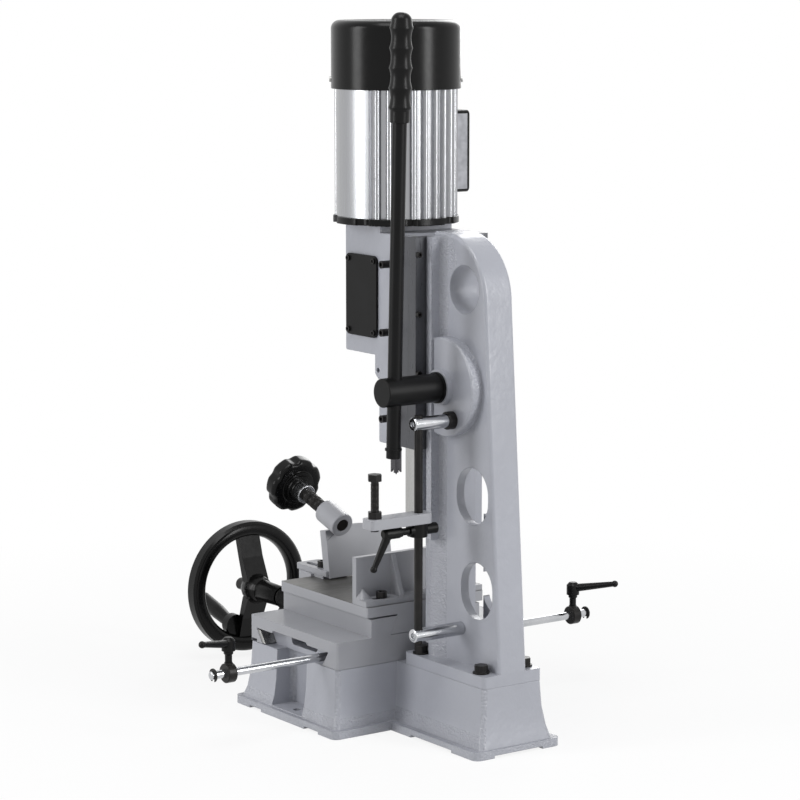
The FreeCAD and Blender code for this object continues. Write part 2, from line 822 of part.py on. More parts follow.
def saddle_casting():
    """Saddle with a dovetail across below, a dovetail lengthwise above, and room for the pinion."""
    z0 = pedestal_top + slide_gap
    block = soft_box(-pedestal_half_x, pedestal_half_x, -pedestal_half_y, pedestal_half_y, z0, saddle_top,
                     3.0)
    rails = box(-saddle_rail_half, saddle_rail_half, -pedestal_half_y, pedestal_half_y, saddle_top - 1,
                saddle_rail_top)
    top = pedestal_top + way_height + 1.5
    wide = way_root_half + slide_gap - 2 * cross_slope()
    high = way_root_half + slide_gap + (top - pedestal_top) * cross_slope()
    front = cross_gib_thick + slide_gap
    cavity = prism_x([(wide, pedestal_top - 2), (high, top), (-high - front, top),
                      (-wide - front, pedestal_top - 2)],
                     -200, 200)
    arch = prism_x([(-52, 90), (-45, top + 3), (28, top + 3), (35, 90)], -200, 200)
    groove = mirrored([(tongue_foot_half + slide_gap, saddle_top),
                       (tongue_top_half + slide_gap, saddle_rail_top),
                       (tongue_top_half + slide_gap, saddle_rail_top + 1)])
    solid = block.fuse(rails).cut([cavity, arch, prism_y(groove, -200, 200)])
    reach = feed_module * (feed_teeth / 2 + 1) + 1.2
    y0 = feed_rack_y - feed_rack_width / 2 - 1
    y1 = feed_rack_y + feed_rack_width / 2 + 1
    rack_room = feed_z - feed_module * (feed_teeth / 2 - 1) + 0.6
    solid = solid.cut([rod(reach, (0, y0, feed_z), Y_AXIS, y1 - y0),
                       box(-reach, reach, y0, y1, z0 - 1, feed_z),
                       box(-200, 200, y0, y1, z0 - 1, rack_room)])
    solid = solid.cut(rod(feed_shaft_r + run_fit, (0, -100, feed_z), Y_AXIS, 24))
    return solid.cut([rod(cross_screw_r, (x, -100, cross_screw_z), Y_AXIS, 40) for x in cross_screw_places()])


def cross_screw_places():
    inset = pedestal_half_x - 10.5
    return [-inset, 0.4 - inset * 0.4, inset * 0.4, inset]


def cross_gib():
    """Steel gib along the front of the cross way."""
    low = pedestal_top + 1.0
    high = pedestal_top + way_height
    near = -way_root_half - slide_gap
    far = near - cross_gib_thick
    bend = (low - pedestal_top) * cross_slope()
    rise = (high - pedestal_top) * cross_slope()
    return prism_x([(near - bend, low), (near - rise, high), (far - rise, high), (far - bend, low)],
                   -pedestal_half_x + 0.5, pedestal_half_x - 0.5)


def cross_gib_screws():
    """Copper set screws with lock nuts along the saddle's front face."""
    seat = -way_root_half - slide_gap - cross_gib_thick
    seat = seat - (cross_screw_z + cross_screw_r - pedestal_top) * cross_slope() - 0.05
    screws = []
    for x in cross_screw_places():
        shank = rod(cross_screw_r, (x, -pedestal_half_y - 8, cross_screw_z), Y_AXIS,
                    seat + pedestal_half_y + 8)
        nut = place(hexagon(11, 0, 4), (x, -pedestal_half_y, cross_screw_z), V(0, -1, 0))
        screws.append(shank.fuse(nut))
    return Part.makeCompound(screws)


def feed_bracket():
    """Bearing bracket on the saddle's front: a flange and a long tapered barrel for the shaft."""
    y = -pedestal_half_y
    flange = soft_box(-30, 30, y - 10, y, feed_z - 12.5, saddle_top, 5.0, Y_AXIS)
    barrel = Part.makeCone(bracket_r + 3.4, bracket_r, bracket_length, V(0, y - 1, feed_z), V(0, -1, 0))
    ridge = prism_x([(y - 9, saddle_top - 3), (y - 9, feed_z + 10), (y - 60, feed_z + 10)], -4, 4)
    solid = flange.fuse([barrel.cut(box(-50, 50, y - 5, y + 5, 0, feed_z - 12.5)), ridge])
    return solid.cut(rod(feed_shaft_r + run_fit, (0, y - bracket_length - 2, feed_z), Y_AXIS,
                         bracket_length + 4))


def feed_shaft():
    """Shaft with the pinion cut on its inner end and a shoulder by the bearing bracket."""
    inner = feed_rack_y + feed_rack_width / 2
    shaft = rod(feed_shaft_r, (0, wheel_y - 14, feed_z), Y_AXIS, inner - wheel_y + 14)
    points = [(b, feed_z - a) for a, b in gear_points(feed_module, feed_teeth, gear_backlash)]
    pinion = prism_y(points, inner - feed_rack_width, inner)
    end = -pedestal_half_y - bracket_length - 1
    shoulder = rod(feed_shaft_r + 4, (0, end - 6, feed_z), Y_AXIS, 6 - slide_gap)
    return shaft.fuse([pinion, shoulder])


def handwheel():
    """Round rim, two dished spokes and a hub that reaches back towards the saddle."""
    inner = wheel_r - rim_thick
    half = rim_width / 2
    rim = turned([(inner + 3, -half), (wheel_r - 3, -half), (wheel_r, 3 - half), (wheel_r, half - 3),
                  (wheel_r - 3, half), (inner + 3, half), (inner, half - 4), (inner, 4 - half)])
    reach = wheel_hub_length
    hub = turned([(0, 8), (14, 8), (18, 16), (20, 26), (17, 36), (14, 42), (13, reach), (0, reach)])
    wheel = rim.fuse(hub)
    spoke = [(10, 16), (inner * 0.55, 6), (inner + 2, -spoke_thick / 2), (inner + 2, spoke_thick / 2),
             (inner * 0.55, 6 + spoke_thick), (10, 16 + spoke_thick * 1.5)]
    flat = face_of([V(r, -spoke_width / 2, z) for r, z in spoke]).extrude(V(0, spoke_width, 0))
    flat = soften(flat, 3.0, V(0, 1, 0), lambda c: 20 < c.x < inner)
    for k in range(spoke_count):
        one = flat.copy()
        one.rotate(V(0, 0, 0), Z_AXIS, 360 * k / spoke_count - 90)
        wheel = wheel.fuse(one)
    turn = math.radians(grip_knob_turn)
    boss = Part.makeCylinder(14, half + 3, V(grip_knob_out * math.cos(turn),
                                             -grip_knob_out * math.sin(turn), -half))
    wheel = wheel.fuse(boss).cut(Part.makeCylinder(feed_shaft_r, 200, V(0, 0, -20)))
    wheel.Placement = FreeCAD.Placement(FreeCAD.Matrix(1, 0, 0, 0, 0, 0, 1, wheel_y, 0, -1, 0, feed_z, 0, 0,
                                                       0, 1))
    return wheel.cut(Part.makeCylinder(grip_pin_r, 20, grip_root() - grip_way() * 10, grip_way()))


def grip_root():
    turn = math.radians(grip_knob_turn)
    return V(grip_knob_out * math.cos(turn), wheel_y - rim_width / 2, feed_z + grip_knob_out * math.sin(turn))


def grip_way():
    lean = math.radians(grip_knob_lean)
    return V(0, -math.cos(lean), math.sin(lean))


def wheel_grip():
    """Turned grip of the handwheel, on its own pin."""
    length = grip_knob_length
    start = grip_knob_r * math.tan(math.radians(grip_knob_lean)) + slide_gap
    knob = turned([(0, start), (grip_knob_r - 2, start), (grip_knob_r, length * 0.45),
                   (grip_knob_r - 1, length - 3),
                   (grip_knob_r - 4, length), (0, length)])
    pin = Part.makeCylinder(grip_pin_r - run_fit, 10 + start, V(0, 0, -9))
    return place(knob.fuse(pin), tuple(grip_root()), grip_way())


# Table, fence and clamp bracket

def table_plate():
    """Table with a dovetail tongue below and a tapered lug for the clamp bracket in front."""
    plate = soft_box(-table_half, table_half, table_front, table_rear, table_bottom, table_top, 2.0)
    tongue = mirrored([(tongue_foot_half, saddle_top + 0.5), (tongue_top_half, saddle_rail_top),
                       (tongue_top_half, table_bottom + 1)])
    left = clamp_foot_left
    right = clamp_foot_right
    front = clamp_lug_front
    lug = [(left - 6, table_front + 1), (left - 2, front + 26), (left + 2, front + 6), (left + 8, front),
           (right - 6, front), (right, front + 8), (right + 4, table_front + 1)]
    pad = box(left, right, table_front, jaw_y - jaw_thick - 2, table_top - 1, clamp_foot_low)
    solid = plate.fuse([prism_y(tongue, table_front, table_rear),
                        prism_z(lug, table_bottom, clamp_foot_low), pad])
    for side in (-1, 1):
        solid = solid.cut(rod(table_screw_r, (side * fence_slot_x, fence_screw_y, table_bottom - 1), Z_AXIS,
                              40))
    return solid.cut(rod(table_screw_r, (clamp_screw_x, clamp_screw_y, table_bottom + 3), Z_AXIS, 40))


def rear_fence():
    """Angle fence with two gussets, slots for its screws and cast corner cones."""
    plate = box(-table_half, table_half, fence_y, fence_y + fence_thick, table_top, fence_top)
    flange = box(-table_half, table_half, fence_y, fence_rear, table_top, table_top + fence_flange)
    y = fence_y + fence_thick - 1
    z = table_top + fence_flange - 1
    end = fence_rear - 1
    ribs = [prism_x([(y, z), (end, z), (end, z + 4), (y + 3, fence_top - 2), (y, fence_top - 2)], x - 3,
                    x + 3)
            for x in (-fence_rib_x, fence_rib_x)]
    solid = plate.fuse([flange] + ribs)
    for side in (-1, 1):
        cone = Part.makeCone(11, 1, 12, V(side * (fence_slot_x + 20), y + 1, z), Z_AXIS)
        solid = solid.fuse(cone.common(box(-table_half, table_half, y, fence_rear, z, z + 20)))
        half = fence_slot_length / 2 - table_screw_r
        r = table_screw_r + 0.3
        x = side * fence_slot_x
        slot = box(x - half - r, x + half + r, fence_screw_y - r, fence_screw_y + r, table_top - 1,
                   table_top + 19)
        solid = solid.cut(soften(slot, r - 0.05, Z_AXIS))
    return solid


def table_screws():
    """Cap screws that hold the fence and the clamp bracket to the table."""
    screw = socket_screw(table_screw_r, 14, 6.5, 8)
    top = table_top + fence_flange
    solids = [place(screw, (side * fence_slot_x, fence_screw_y, top), Z_AXIS) for side in (-1, 1)]
    solids.append(place(screw, (clamp_screw_x, clamp_screw_y, clamp_foot_low + clamp_foot_thick), Z_AXIS))
    return Part.makeCompound(solids)


def clamp_way():
    tilt = math.radians(clamp_tilt)
    return V(0, math.cos(tilt), -math.sin(tilt))


def clamp_mouth():
    return V(clamp_boss_x, clamp_boss_y, clamp_boss_z)


def clamp_rod(r, start, length):
    """A cylinder on the clamp's axis, which starts at a distance in front of the boss's mouth."""
    return Part.makeCylinder(r, length, clamp_mouth() - clamp_way() * start, clamp_way())


def clamp_bracket():
    """Casting that carries the clamp screw: slotted foot, leaning jaw with an arched top, and boss."""
    z0 = clamp_foot_low
    foot = box(clamp_foot_left, clamp_foot_right, clamp_lug_front, jaw_y - 3, z0, z0 + clamp_foot_thick)
    foot = soften(foot, 5.0, Z_AXIS, lambda c: c.y < clamp_lug_front + 5)
    base = table_top + 1.5
    middle = (jaw_left + jaw_right) / 2
    arc = Part.Arc(V(jaw_right, 0, jaw_end_top), V(middle, 0, jaw_crown_top),
                   V(jaw_left, 0, jaw_end_top)).toShape()
    corners = [V(jaw_left, 0, jaw_end_top), V(jaw_left, 0, base + 1.5), V(jaw_right, 0, base),
               V(jaw_right, 0, jaw_end_top)]
    lines = [Part.makeLine(a, b) for a, b in zip(corners, corners[1:])]
    jaw = Part.Face(Part.Wire([arc] + lines)).extrude(V(0, -jaw_thick, 0))
    jaw.translate(V(0, jaw_y, 0))
    post = box(jaw_right - 22, jaw_right, jaw_y - jaw_thick - 8, jaw_y - 1, z0, jaw_end_top + 14)
    upright = jaw.fuse(soften(post, 4.0, Z_AXIS, lambda c: c.y < jaw_y - jaw_thick - 5))
    upright.rotate(V(0, jaw_y, base), X_AXIS, jaw_lean)
    boss = clamp_rod(clamp_boss_r, clamp_boss_length, clamp_boss_length)
    boss = boss.makeChamfer(1.0, round_edges(boss))
    below = box(-200, 200, -200, jaw_y - jaw_thick - 1, table_top - 30, z0)
    solid = foot.fuse([upright, boss]).cut([box(-200, 200, -200, 0, table_top - 30, base), below])
    solid = solid.cut(clamp_rod(clamp_screw_rod_r + run_fit, clamp_boss_length + 30, clamp_boss_length + 80))
    slot = box(clamp_screw_x - 4.3, clamp_screw_x + 4.3, clamp_screw_y - 34, clamp_screw_y + 6, z0 - 1,
               z0 + 20)
    return solid.cut(soften(slot, 4.2, Z_AXIS))


def clamp_screw():
    """Screw with a turned collar under its knob; the pressure pad sits on its tip."""
    return clamp_rod(clamp_screw_rod_r, clamp_knob_out - 8, clamp_knob_out - 8 - pad_thick).fuse(
        clamp_rod(12.0, clamp_knob_out - clamp_knob_thick / 2 - 7.5, 13.5))


def pressure_pad():
    return clamp_rod(clamp_screw_rod_r - 0.6, pad_thick - slide_gap, pad_thick - slide_gap)


def star_knob():
    """Knob with seven shallow grips round a rounded rim, dished on its outer face."""
    lobes = 7
    grip = 13.0
    solid = Part.makeCylinder(clamp_knob_r, clamp_knob_thick)
    for k in range(lobes):
        angle = 2 * math.pi * k / lobes
        out = clamp_knob_r + grip - 5.0
        solid = solid.cut(Part.makeCylinder(grip, clamp_knob_thick,
                                            V(out * math.cos(angle), out * math.sin(angle), 0)))
    solid = soften(solid, 4.0, Z_AXIS)
    solid = solid.makeFillet(5.0, [e for e in solid.Edges if e.BoundBox.ZLength < 1e-6])
    solid = solid.cut(Part.makeSphere(70, V(0, 0, -64)))
    solid = solid.fuse(Part.makeCone(15, 12.5, 8, V(0, 0, clamp_knob_thick - 0.5)))
    solid = place(solid, tuple(clamp_mouth() - clamp_way() * (clamp_knob_out + clamp_knob_thick / 2)),
                  clamp_way())
    return solid.cut(clamp_rod(clamp_screw_rod_r, clamp_knob_out - 8, 60))


# Head

def head_casting():
    """Slide head: chuck box, carriage, cheeks round the way plate, motor seat and stop tab."""
    chuck_box = box(-head_half, head_half, head_front, head_back + 2, head_low, head_high)
    chuck_box = soften(chuck_box, 2.5, X_AXIS, lambda c: c.y < 10 and c.z < head_low + 5)
    carriage = box(-head_half, head_half, head_back, plate_front - slide_gap, carriage_low, carriage_high)
    carriage = soften(carriage, 2.5, X_AXIS, lambda c: c.y < head_back + 2 and c.z < carriage_low + 5)
    cheeks = []
    face = head_half - cheek_step
    for x0, x1 in ((-face, -plate_half - slide_gap), (plate_half + slide_gap + gib_thick, face)):
        cheeks.append(box(x0, x1, plate_front - 2, plate_back + slide_gap, carriage_low, carriage_high))
    tab = prism_x([(tab_y - 6.2, head_low + 2), (tab_y - 6.2, tab_low + 6), (tab_y, tab_low),
                   (tab_y + 6.3, tab_low + 6),
                   (tab_y + 6.3, head_low + 2)], head_half - 8, head_half)
    solid = chuck_box.fuse([carriage, tab] + cheeks)
    inner = head_half - head_wall
    room = box(-inner, inner, head_front + head_wall, head_back - 4, head_low + head_wall,
               head_high - head_roof)
    window = box(0, head_half + 1, cover_front + 5, cover_back - 5, cover_low + 5, cover_high - 5)
    gib_slot = box(plate_half + slide_gap, plate_half + slide_gap + gib_thick, gib_front() - 0.2, plate_back,
                   carriage_low - 1, carriage_high + 1)
    groove = box(-rack_half_width, rack_half_width, rack_seat_y(), plate_front, rack_low(), rack_high())
    solid = solid.cut([soften(room, 4.0, Z_AXIS), soften(window, 5.0, X_AXIS), gib_slot, groove])
    solid = solid.cut(rod(pilot_r, (0, spindle_y, head_high - head_roof - 1), Z_AXIS, head_roof + 2))
    solid = solid.cut(rod(holder_r - 4, (0, spindle_y, head_low - 1), Z_AXIS, head_wall + 2))
    solid = solid.cut(rod(3.0, (head_half - 9, tab_y, tab_low + 10), X_AXIS, 10))
    holes = [rod(set_screw_r, (plate_half + gib_thick, gib_screw_y, z), X_AXIS, 20)
             for z in gib_screw_heights()]
    for side in (-1, 1):
        for z in keeper_heights():
            holes.append(rod(small_screw_r, (side * keeper_x, plate_back - 14, z), Y_AXIS, 20))
    holes += [rod(small_screw_r, (head_half - 8, y, z), X_AXIS, 20) for y, z in cover_corners()]
    return solid.cut(holes)


def gib_front():
    return gib_screw_y - 6


def gib_screw_heights():
    return [carriage_low + 31, carriage_low + 133, carriage_low + 213]


def keeper_heights():
    step = (carriage_high - carriage_low - 40) / 3
    return [carriage_low + 20 + step * k for k in range(4)]


def rack_seat_y():
    return plate_front - slide_gap - rack_sunk


def rack_pitch_y():
    return drive_y - gear_module * gear_teeth / 2


def cover_corners():
    return [(y, z) for y in (cover_front + 5.5, cover_back - 5.5) for z in (cover_low + 6, cover_high - 6)]


def keeper_strips():
    """Two strips behind the way plate, which keep the head on the column."""
    strips = []
    y0 = plate_back + slide_gap
    for side in (-1, 1):
        xs = sorted((side * (neck_half + 1.5), side * head_half))
        strip = box(xs[0], xs[1], y0, y0 + keeper_thick, carriage_low, carriage_high)
        strips.append(strip.cut([rod(small_screw_r, (side * keeper_x, y0 - 1, z), Y_AXIS, 40)
                                 for z in keeper_heights()]))
    return Part.makeCompound(strips)


def head_screws():
    """The small cap screws of the keepers and of the chuck cover."""
    keeper_screw = socket_screw(small_screw_r, keeper_thick + 10, 3.4, 4)
    cover_screw = socket_screw(small_screw_r, 9, 3.4, 2)
    back = plate_back + slide_gap + keeper_thick
    solids = [place(keeper_screw, (side * keeper_x, back, z), Y_AXIS) for side in (-1, 1)
              for z in keeper_heights()]
    solids += [place(cover_screw, (head_half + cover_thick, y, z), X_AXIS) for y, z in cover_corners()]
    return Part.makeCompound(solids)


def head_gib():
    """Flat gib in the right cheek, pressed by the three side screws."""
    x = plate_half + slide_gap
    return box(x, x + gib_thick - 0.1, gib_front(), plate_back - 1, carriage_low + 0.5, carriage_high - 0.5)


def head_set_screws():
    """Set screws of the gib, and the one that locks the chisel."""
    sunk = head_half - plate_half - slide_gap - gib_thick
    solids = [place(set_screw(sunk), (head_half, gib_screw_y, z), X_AXIS) for z in gib_screw_heights()]
    lock = place(set_screw(holder_r - chisel_shank_r - 0.3), (0, spindle_y - holder_r, holder_low + 22),
                 V(0, -1, 0))
    return Part.makeCompound(solids + [lock])


def chuck_cover():
    plate = soft_box(head_half, head_half + cover_thick, cover_front, cover_back, cover_low, cover_high,
                     7.0, X_AXIS)
    return plate.cut([rod(small_screw_r, (head_half - 1, y, z), X_AXIS, 10) for y, z in cover_corners()])


def head_rack():
    """Rack let into the head's rear face, in mesh with the drive gear through the slot in the ways."""
    points = rack_points(gear_module, rack_low() - drive_z, rack_high() - drive_z,
                         rack_pitch_y() - rack_seat_y(),
                         gear_backlash)
    return prism_x([(rack_pitch_y() + out, drive_z + along) for along, out in points], -rack_half_width,
                   rack_half_width)


def chisel_holder():
    """Bush under the head that holds the chisel's round shank."""
    r = holder_r
    outline = [(chisel_shank_r, holder_low), (r - 4, holder_low), (r, holder_low + 8), (r, head_low),
               (r - 4, head_low),
               (r - 4, head_low + head_wall + 2), (chisel_shank_r, head_low + head_wall + 2)]
    bush = turned(outline, V(0, spindle_y, 0))
    return bush.cut(rod(set_screw_r, (0, spindle_y, holder_low + 22), V(0, -1, 0), 40))


def mortise_chisel():
    """Hollow square chisel: round shank with a collar, square blade, ground points and a chip window."""
    half = chisel_width / 2
    r = chisel_shank_r
    shank = turned([(0, holder_low - 9), (r, holder_low - 9), (r, holder_low - 5), (r + 2, holder_low - 5),
                    (r + 2, holder_low), (r, holder_low), (r, holder_low + 62), (0, holder_low + 62)],
                   V(0, spindle_y, 0))
    blade = box(-half, half, spindle_y - half, spindle_y + half, chisel_tip, holder_low - 6)
    notch = [(-half * 0.86, chisel_tip - 1), (half * 0.86, chisel_tip - 1), (0, chisel_tip + half)]
    solid = shank.fuse(blade)
    solid = solid.cut([prism_y(notch, spindle_y - 20, spindle_y + 20),
                       prism_x([(spindle_y + a, b) for a, b in notch], -20, 20),
                       rod(chisel_bore_r, (0, spindle_y, chisel_tip - 1), Z_AXIS, 200),
                       oval_x(spindle_y, chisel_tip + 29, 2.2, 15, -100, 0)])
    return solid


def chuck_low():
    return head_low + head_wall + 8


def auger_bit():
    """Bit inside the chisel: core with helical lands, a centre point, and a shank up to the chuck."""
    r = chisel_bore_r - 0.4
    core = turned([(0, chisel_tip - 3.5), (1.6, chisel_tip - 1), (1.6, chisel_tip + 62),
                   (2.6, chisel_tip + 64),
                   (2.6, chuck_low() + 30), (0, chuck_low() + 30)], V(0, spindle_y, 0))
    lands = []
    for k in range(12):
        z = chisel_tip - 1 + 5 * k
        land = box(-r, r, spindle_y - 0.9, spindle_y + 0.9, z, z + 5.4)
        land = land.common(rod(r, (0, spindle_y, z), Z_AXIS, 6))
        land.rotate(V(0, spindle_y, 0), Z_AXIS, 35 * k)
        lands.append(land)
    return core.fuse(lands)


def drill_chuck():
    """Keyed drill chuck: nose, sleeve with its gear ring, and body on the motor shaft."""
    outline = [(2.6, 0), (9, 0), (15, 12), (17, 14), (17, 30), (19, 32), (19, 40), (16.5, 42), (16.5, 62),
               (14, 66),
               (motor_shaft_r, 66), (motor_shaft_r, 40), (2.6, 40)]
    return turned(outline, V(0, spindle_y, chuck_low()))


# Motor

def motor_flange():
    """Motor seat with a scalloped rim and a pilot that centres in the head."""
    disc = rod(motor_r + 2, (0, spindle_y, head_high), Z_AXIS, motor_low - head_high)
    reach = motor_r * 1.12
    turns = [math.radians(22.5 + 45 * k) for k in range(8)]
    notches = [rod(12.0, (reach * math.cos(a), spindle_y + reach * math.sin(a), head_high), Z_AXIS, 30)
               for a in turns]
    pilot = rod(pilot_r, (0, spindle_y, head_high - head_roof + 1), Z_AXIS, head_roof)
    return disc.cut(notches).fuse(pilot).cut(rod(motor_bearing_r, (0, spindle_y, head_high - 20), Z_AXIS, 40))


def motor_body():
    """Extruded motor housing: a tube with tapered ribs, and a smooth panel on its right."""
    points = []
    slope = math.tan(math.radians(panel_half_turn))
    for k in range(rib_count):
        middle = 2 * math.pi * k / rib_count
        top = rib_width / 2 / motor_r
        root = (rib_width / 2 + 0.6) / motor_core_r
        for r, a in ((motor_core_r, -root), (motor_r, -top), (motor_r, top), (motor_core_r, root)):
            points.append((r * math.cos(middle + a), spindle_y + r * math.sin(middle + a)))
    solid = prism_z(points, motor_low, motor_high)
    wedge = prism_z([(0, spindle_y), (150, spindle_y - 150 * slope), (150, spindle_y + 150 * slope)],
                    motor_low, motor_high)
    panel = rod(panel_r, (0, spindle_y, motor_low), Z_AXIS, motor_high - motor_low)
    solid = solid.cut(wedge).fuse(panel.common(wedge))
    return solid.cut(rod(motor_core_r - motor_wall, (0, spindle_y, motor_low - 1), Z_AXIS,
                         motor_high - motor_low + 2))


def fan_cover():
    """Domed cover over the fan, open below, with air slots in its top."""
    height = cap_high - motor_high
    outer = rod(cap_r, (0, spindle_y, motor_high), Z_AXIS, height)
    outer = outer.makeFillet(10.0, round_edges(outer, lambda c: abs(c.z - cap_high) < 0.1))
    inner = rod(cap_r - cap_wall, (0, spindle_y, motor_high + 3), Z_AXIS, height - 3 - cap_wall)
    inner = inner.makeFillet(7.0, round_edges(inner, lambda c: c.z > cap_high - cap_wall - 1))
    mouth = rod(motor_core_r - motor_wall, (0, spindle_y, motor_high - 1), Z_AXIS, 8)
    slots = []
    for k in range(-4, 5):
        half = math.sqrt(50.0 ** 2 - (k * 11.0) ** 2)
        slots.append(box(k * 11 - 2.5, k * 11 + 2.5, spindle_y - half, spindle_y + half,
                         cap_high - cap_wall - 1, cap_high + 1))
    return outer.cut([inner, mouth] + slots)


def stator():
    return tube(motor_core_r - motor_wall, 34, (0, spindle_y, motor_low + 22), Z_AXIS, 95)


def motor_rotor():
    """Motor shaft with its rotor core."""
    low = chuck_low() + 40
    shaft = rod(motor_shaft_r, (0, spindle_y, low), Z_AXIS, motor_high + 38 - low)
    return shaft.fuse(rod(33, (0, spindle_y, motor_low + 24), Z_AXIS, 91))


def motor_bearings():
    """Two bearings as plain rings: one in the flange, one in a spider under the fan."""
    inner = motor_shaft_r + run_fit
    low = tube(motor_bearing_r, inner, (0, spindle_y, head_high - 11), Z_AXIS, 14)
    high = tube(motor_bearing_r + 1, inner, (0, spindle_y, motor_high - 14), Z_AXIS, 12)
    web = tube(motor_core_r - motor_wall, motor_bearing_r, (0, spindle_y, motor_high - 10), Z_AXIS, 5)
    turns = [math.radians(60 * k) for k in range(6)]
    web = web.cut([rod(14, (38 * math.cos(a), spindle_y + 38 * math.sin(a), motor_high - 11), Z_AXIS, 8)
                   for a in turns])
    return Part.makeCompound([low, high.fuse(web)])


def cooling_fan():
    """Fan on the motor shaft: hub, disc and straight blades."""
    low = motor_high + 14
    solid = turned([(motor_shaft_r, 0), (62, 0), (62, 3), (16, 3), (16, 22), (motor_shaft_r, 22)],
                   V(0, spindle_y, low))
    blades = []
    for k in range(8):
        blade = box(14, 62, -1.2, 1.2, low + 2, low + 28)
        blade.rotate(V(0, 0, 0), Z_AXIS, 45 * k)
        blade.translate(V(0, spindle_y, 0))
        blades.append(blade)
    return solid.fuse(blades)


def switch_middle():
    return (switch_low + switch_high) / 2


def switch_box():
    """Switch and terminal housing on the motor's left side, with a window for the rocker."""
    body = soft_box(-switch_face, -motor_core_r + 2, spindle_y - switch_half_y, spindle_y + switch_half_y,
                    switch_low, switch_high, 6.0, X_AXIS)
    window = box(-switch_face - 1, -switch_face + 10, spindle_y - 8, spindle_y + 8, switch_middle() - 12,
                 switch_middle() + 12)
    pin = rod(1.5 + run_fit, (-switch_face + 5, spindle_y - 12, switch_middle()), Y_AXIS, 24)
    seat = rod(motor_r + 0.05, (0, spindle_y, switch_low - 1), Z_AXIS, switch_high - switch_low + 2)
    return body.cut([seat, window, pin])


def switch_rocker():
    """Rocker on its pin: the face is bent, so that one half stands out."""
    x = -switch_face
    z = switch_middle()
    outline = [(x - 3.5, z + 10.5), (x - 0.5, z), (x - 1.0, z - 10.5), (x + 5, z - 9), (x + 7.5, z),
               (x + 5, z + 9)]
    pin = rod(1.5, (x + 5, spindle_y - 11.5, z), Y_AXIS, 23)
    return prism_y(outline, spindle_y - 7.4, spindle_y + 7.4).fuse(pin)


pieces = [base_casting, feed_rack, column_casting, column_bolts, gear_cover, drive_bushes, upper_stud,
          lower_stud,
          stud_nut, guide_rod, stop_rods, rod_rings, drive_shaft, drive_gear, lever_hub, lever_bar,
          lever_grip,
          depth_collar, depth_lever, depth_arm, depth_bolt, depth_nut, stop_collar_right, stop_collar_left,
          stop_lever_right, stop_lever_left, saddle_casting, cross_gib, cross_gib_screws, feed_bracket,
          feed_shaft,
          handwheel, wheel_grip, table_plate, rear_fence, table_screws, clamp_bracket, clamp_screw,
          pressure_pad,
          star_knob, head_casting, keeper_strips, head_screws, head_gib, head_set_screws, chuck_cover,
          head_rack,
          chisel_holder, mortise_chisel, auger_bit, drill_chuck, motor_flange, motor_body, fan_cover, stator,
          motor_rotor, motor_bearings, cooling_fan, switch_box, switch_rocker]

for make in pieces:
    make().exportStep("parts/" + make.__name__ + ".step")
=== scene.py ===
import json
import math

import bmesh
import bpy
from mathutils import Matrix, Vector

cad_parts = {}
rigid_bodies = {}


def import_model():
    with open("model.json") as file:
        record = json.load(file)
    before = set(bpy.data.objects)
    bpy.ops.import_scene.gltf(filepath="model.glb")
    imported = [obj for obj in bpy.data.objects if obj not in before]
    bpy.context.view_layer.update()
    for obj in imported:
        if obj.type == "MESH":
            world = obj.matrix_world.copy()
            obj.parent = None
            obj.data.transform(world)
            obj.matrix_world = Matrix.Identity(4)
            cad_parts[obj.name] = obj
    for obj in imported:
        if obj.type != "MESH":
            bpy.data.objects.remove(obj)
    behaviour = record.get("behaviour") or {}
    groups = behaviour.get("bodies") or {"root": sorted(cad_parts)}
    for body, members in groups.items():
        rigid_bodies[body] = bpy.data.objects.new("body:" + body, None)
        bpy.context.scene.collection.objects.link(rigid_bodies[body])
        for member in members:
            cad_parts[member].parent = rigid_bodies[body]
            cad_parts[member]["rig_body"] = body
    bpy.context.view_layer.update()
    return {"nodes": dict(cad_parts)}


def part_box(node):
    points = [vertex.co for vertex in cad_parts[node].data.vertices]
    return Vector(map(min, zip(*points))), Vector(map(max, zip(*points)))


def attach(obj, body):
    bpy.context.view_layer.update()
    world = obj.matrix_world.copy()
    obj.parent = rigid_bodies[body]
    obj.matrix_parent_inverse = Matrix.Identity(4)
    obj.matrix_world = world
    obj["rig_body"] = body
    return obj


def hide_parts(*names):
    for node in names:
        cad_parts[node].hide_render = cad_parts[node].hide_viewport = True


bl_info = {
    "name": "Benchtop mortiser",
    "version": (1, 0, 0),
    "blender": (4, 5, 0),
    "location": "View3D > Sidebar > Mortiser",
    "description": "Dresses the packed mortiser with its finishes and fine pieces",
    "category": "Object",
}

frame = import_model()

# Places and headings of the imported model, in metres
SPINDLE = Vector((0.0, 0.033, 0.0))
DRIVE = Vector((0.0, 0.173, 0.418))
CLAMP_MOUTH = Vector((0.022, -0.05, 0.2175))
CLAMP_TILT = math.radians(18.3)
CLAMP_WAY = Vector((0.0, math.cos(CLAMP_TILT), -math.sin(CLAMP_TILT)))
LEVER_LEAN = math.radians(1.9)
LEVER_WAY = Vector((0.0, math.sin(LEVER_LEAN), math.cos(LEVER_LEAN)))
LEVER_CENTRE = Vector((0.1015, 0.173, 0.418))
WHEEL_CENTRE = Vector((0.0, -0.308, 0.093))
STOP_BOLT = (0.143, 0.193)

# Where one finish of a casting ends and the next begins, in metres
PLINTH_TOP = 0.0105
PLINTH_BLEND_TOP = 0.022
WAYS_REAR = 0.1345
WAYS_SIDE = 0.0405
WAYS_LOW = 0.236
BLEND_LOW = 0.1
BLEND_FRONT, BLEND_REAR = 0.1346, 0.168
HOUSING_REACH = 0.0555
FLANK_INNER, FLANK_OUTER = 0.0205, 0.034
CHEEK_FRONT = 0.105
CHEEK_INNER, CHEEK_OUTER = 0.0505, 0.0518
TABLE_TOP = 0.1486
COVER_FACE = -0.025

# Radius of a ring whose pieces already stand at their own radius
AT_OWN_RADIUS = 1e-6


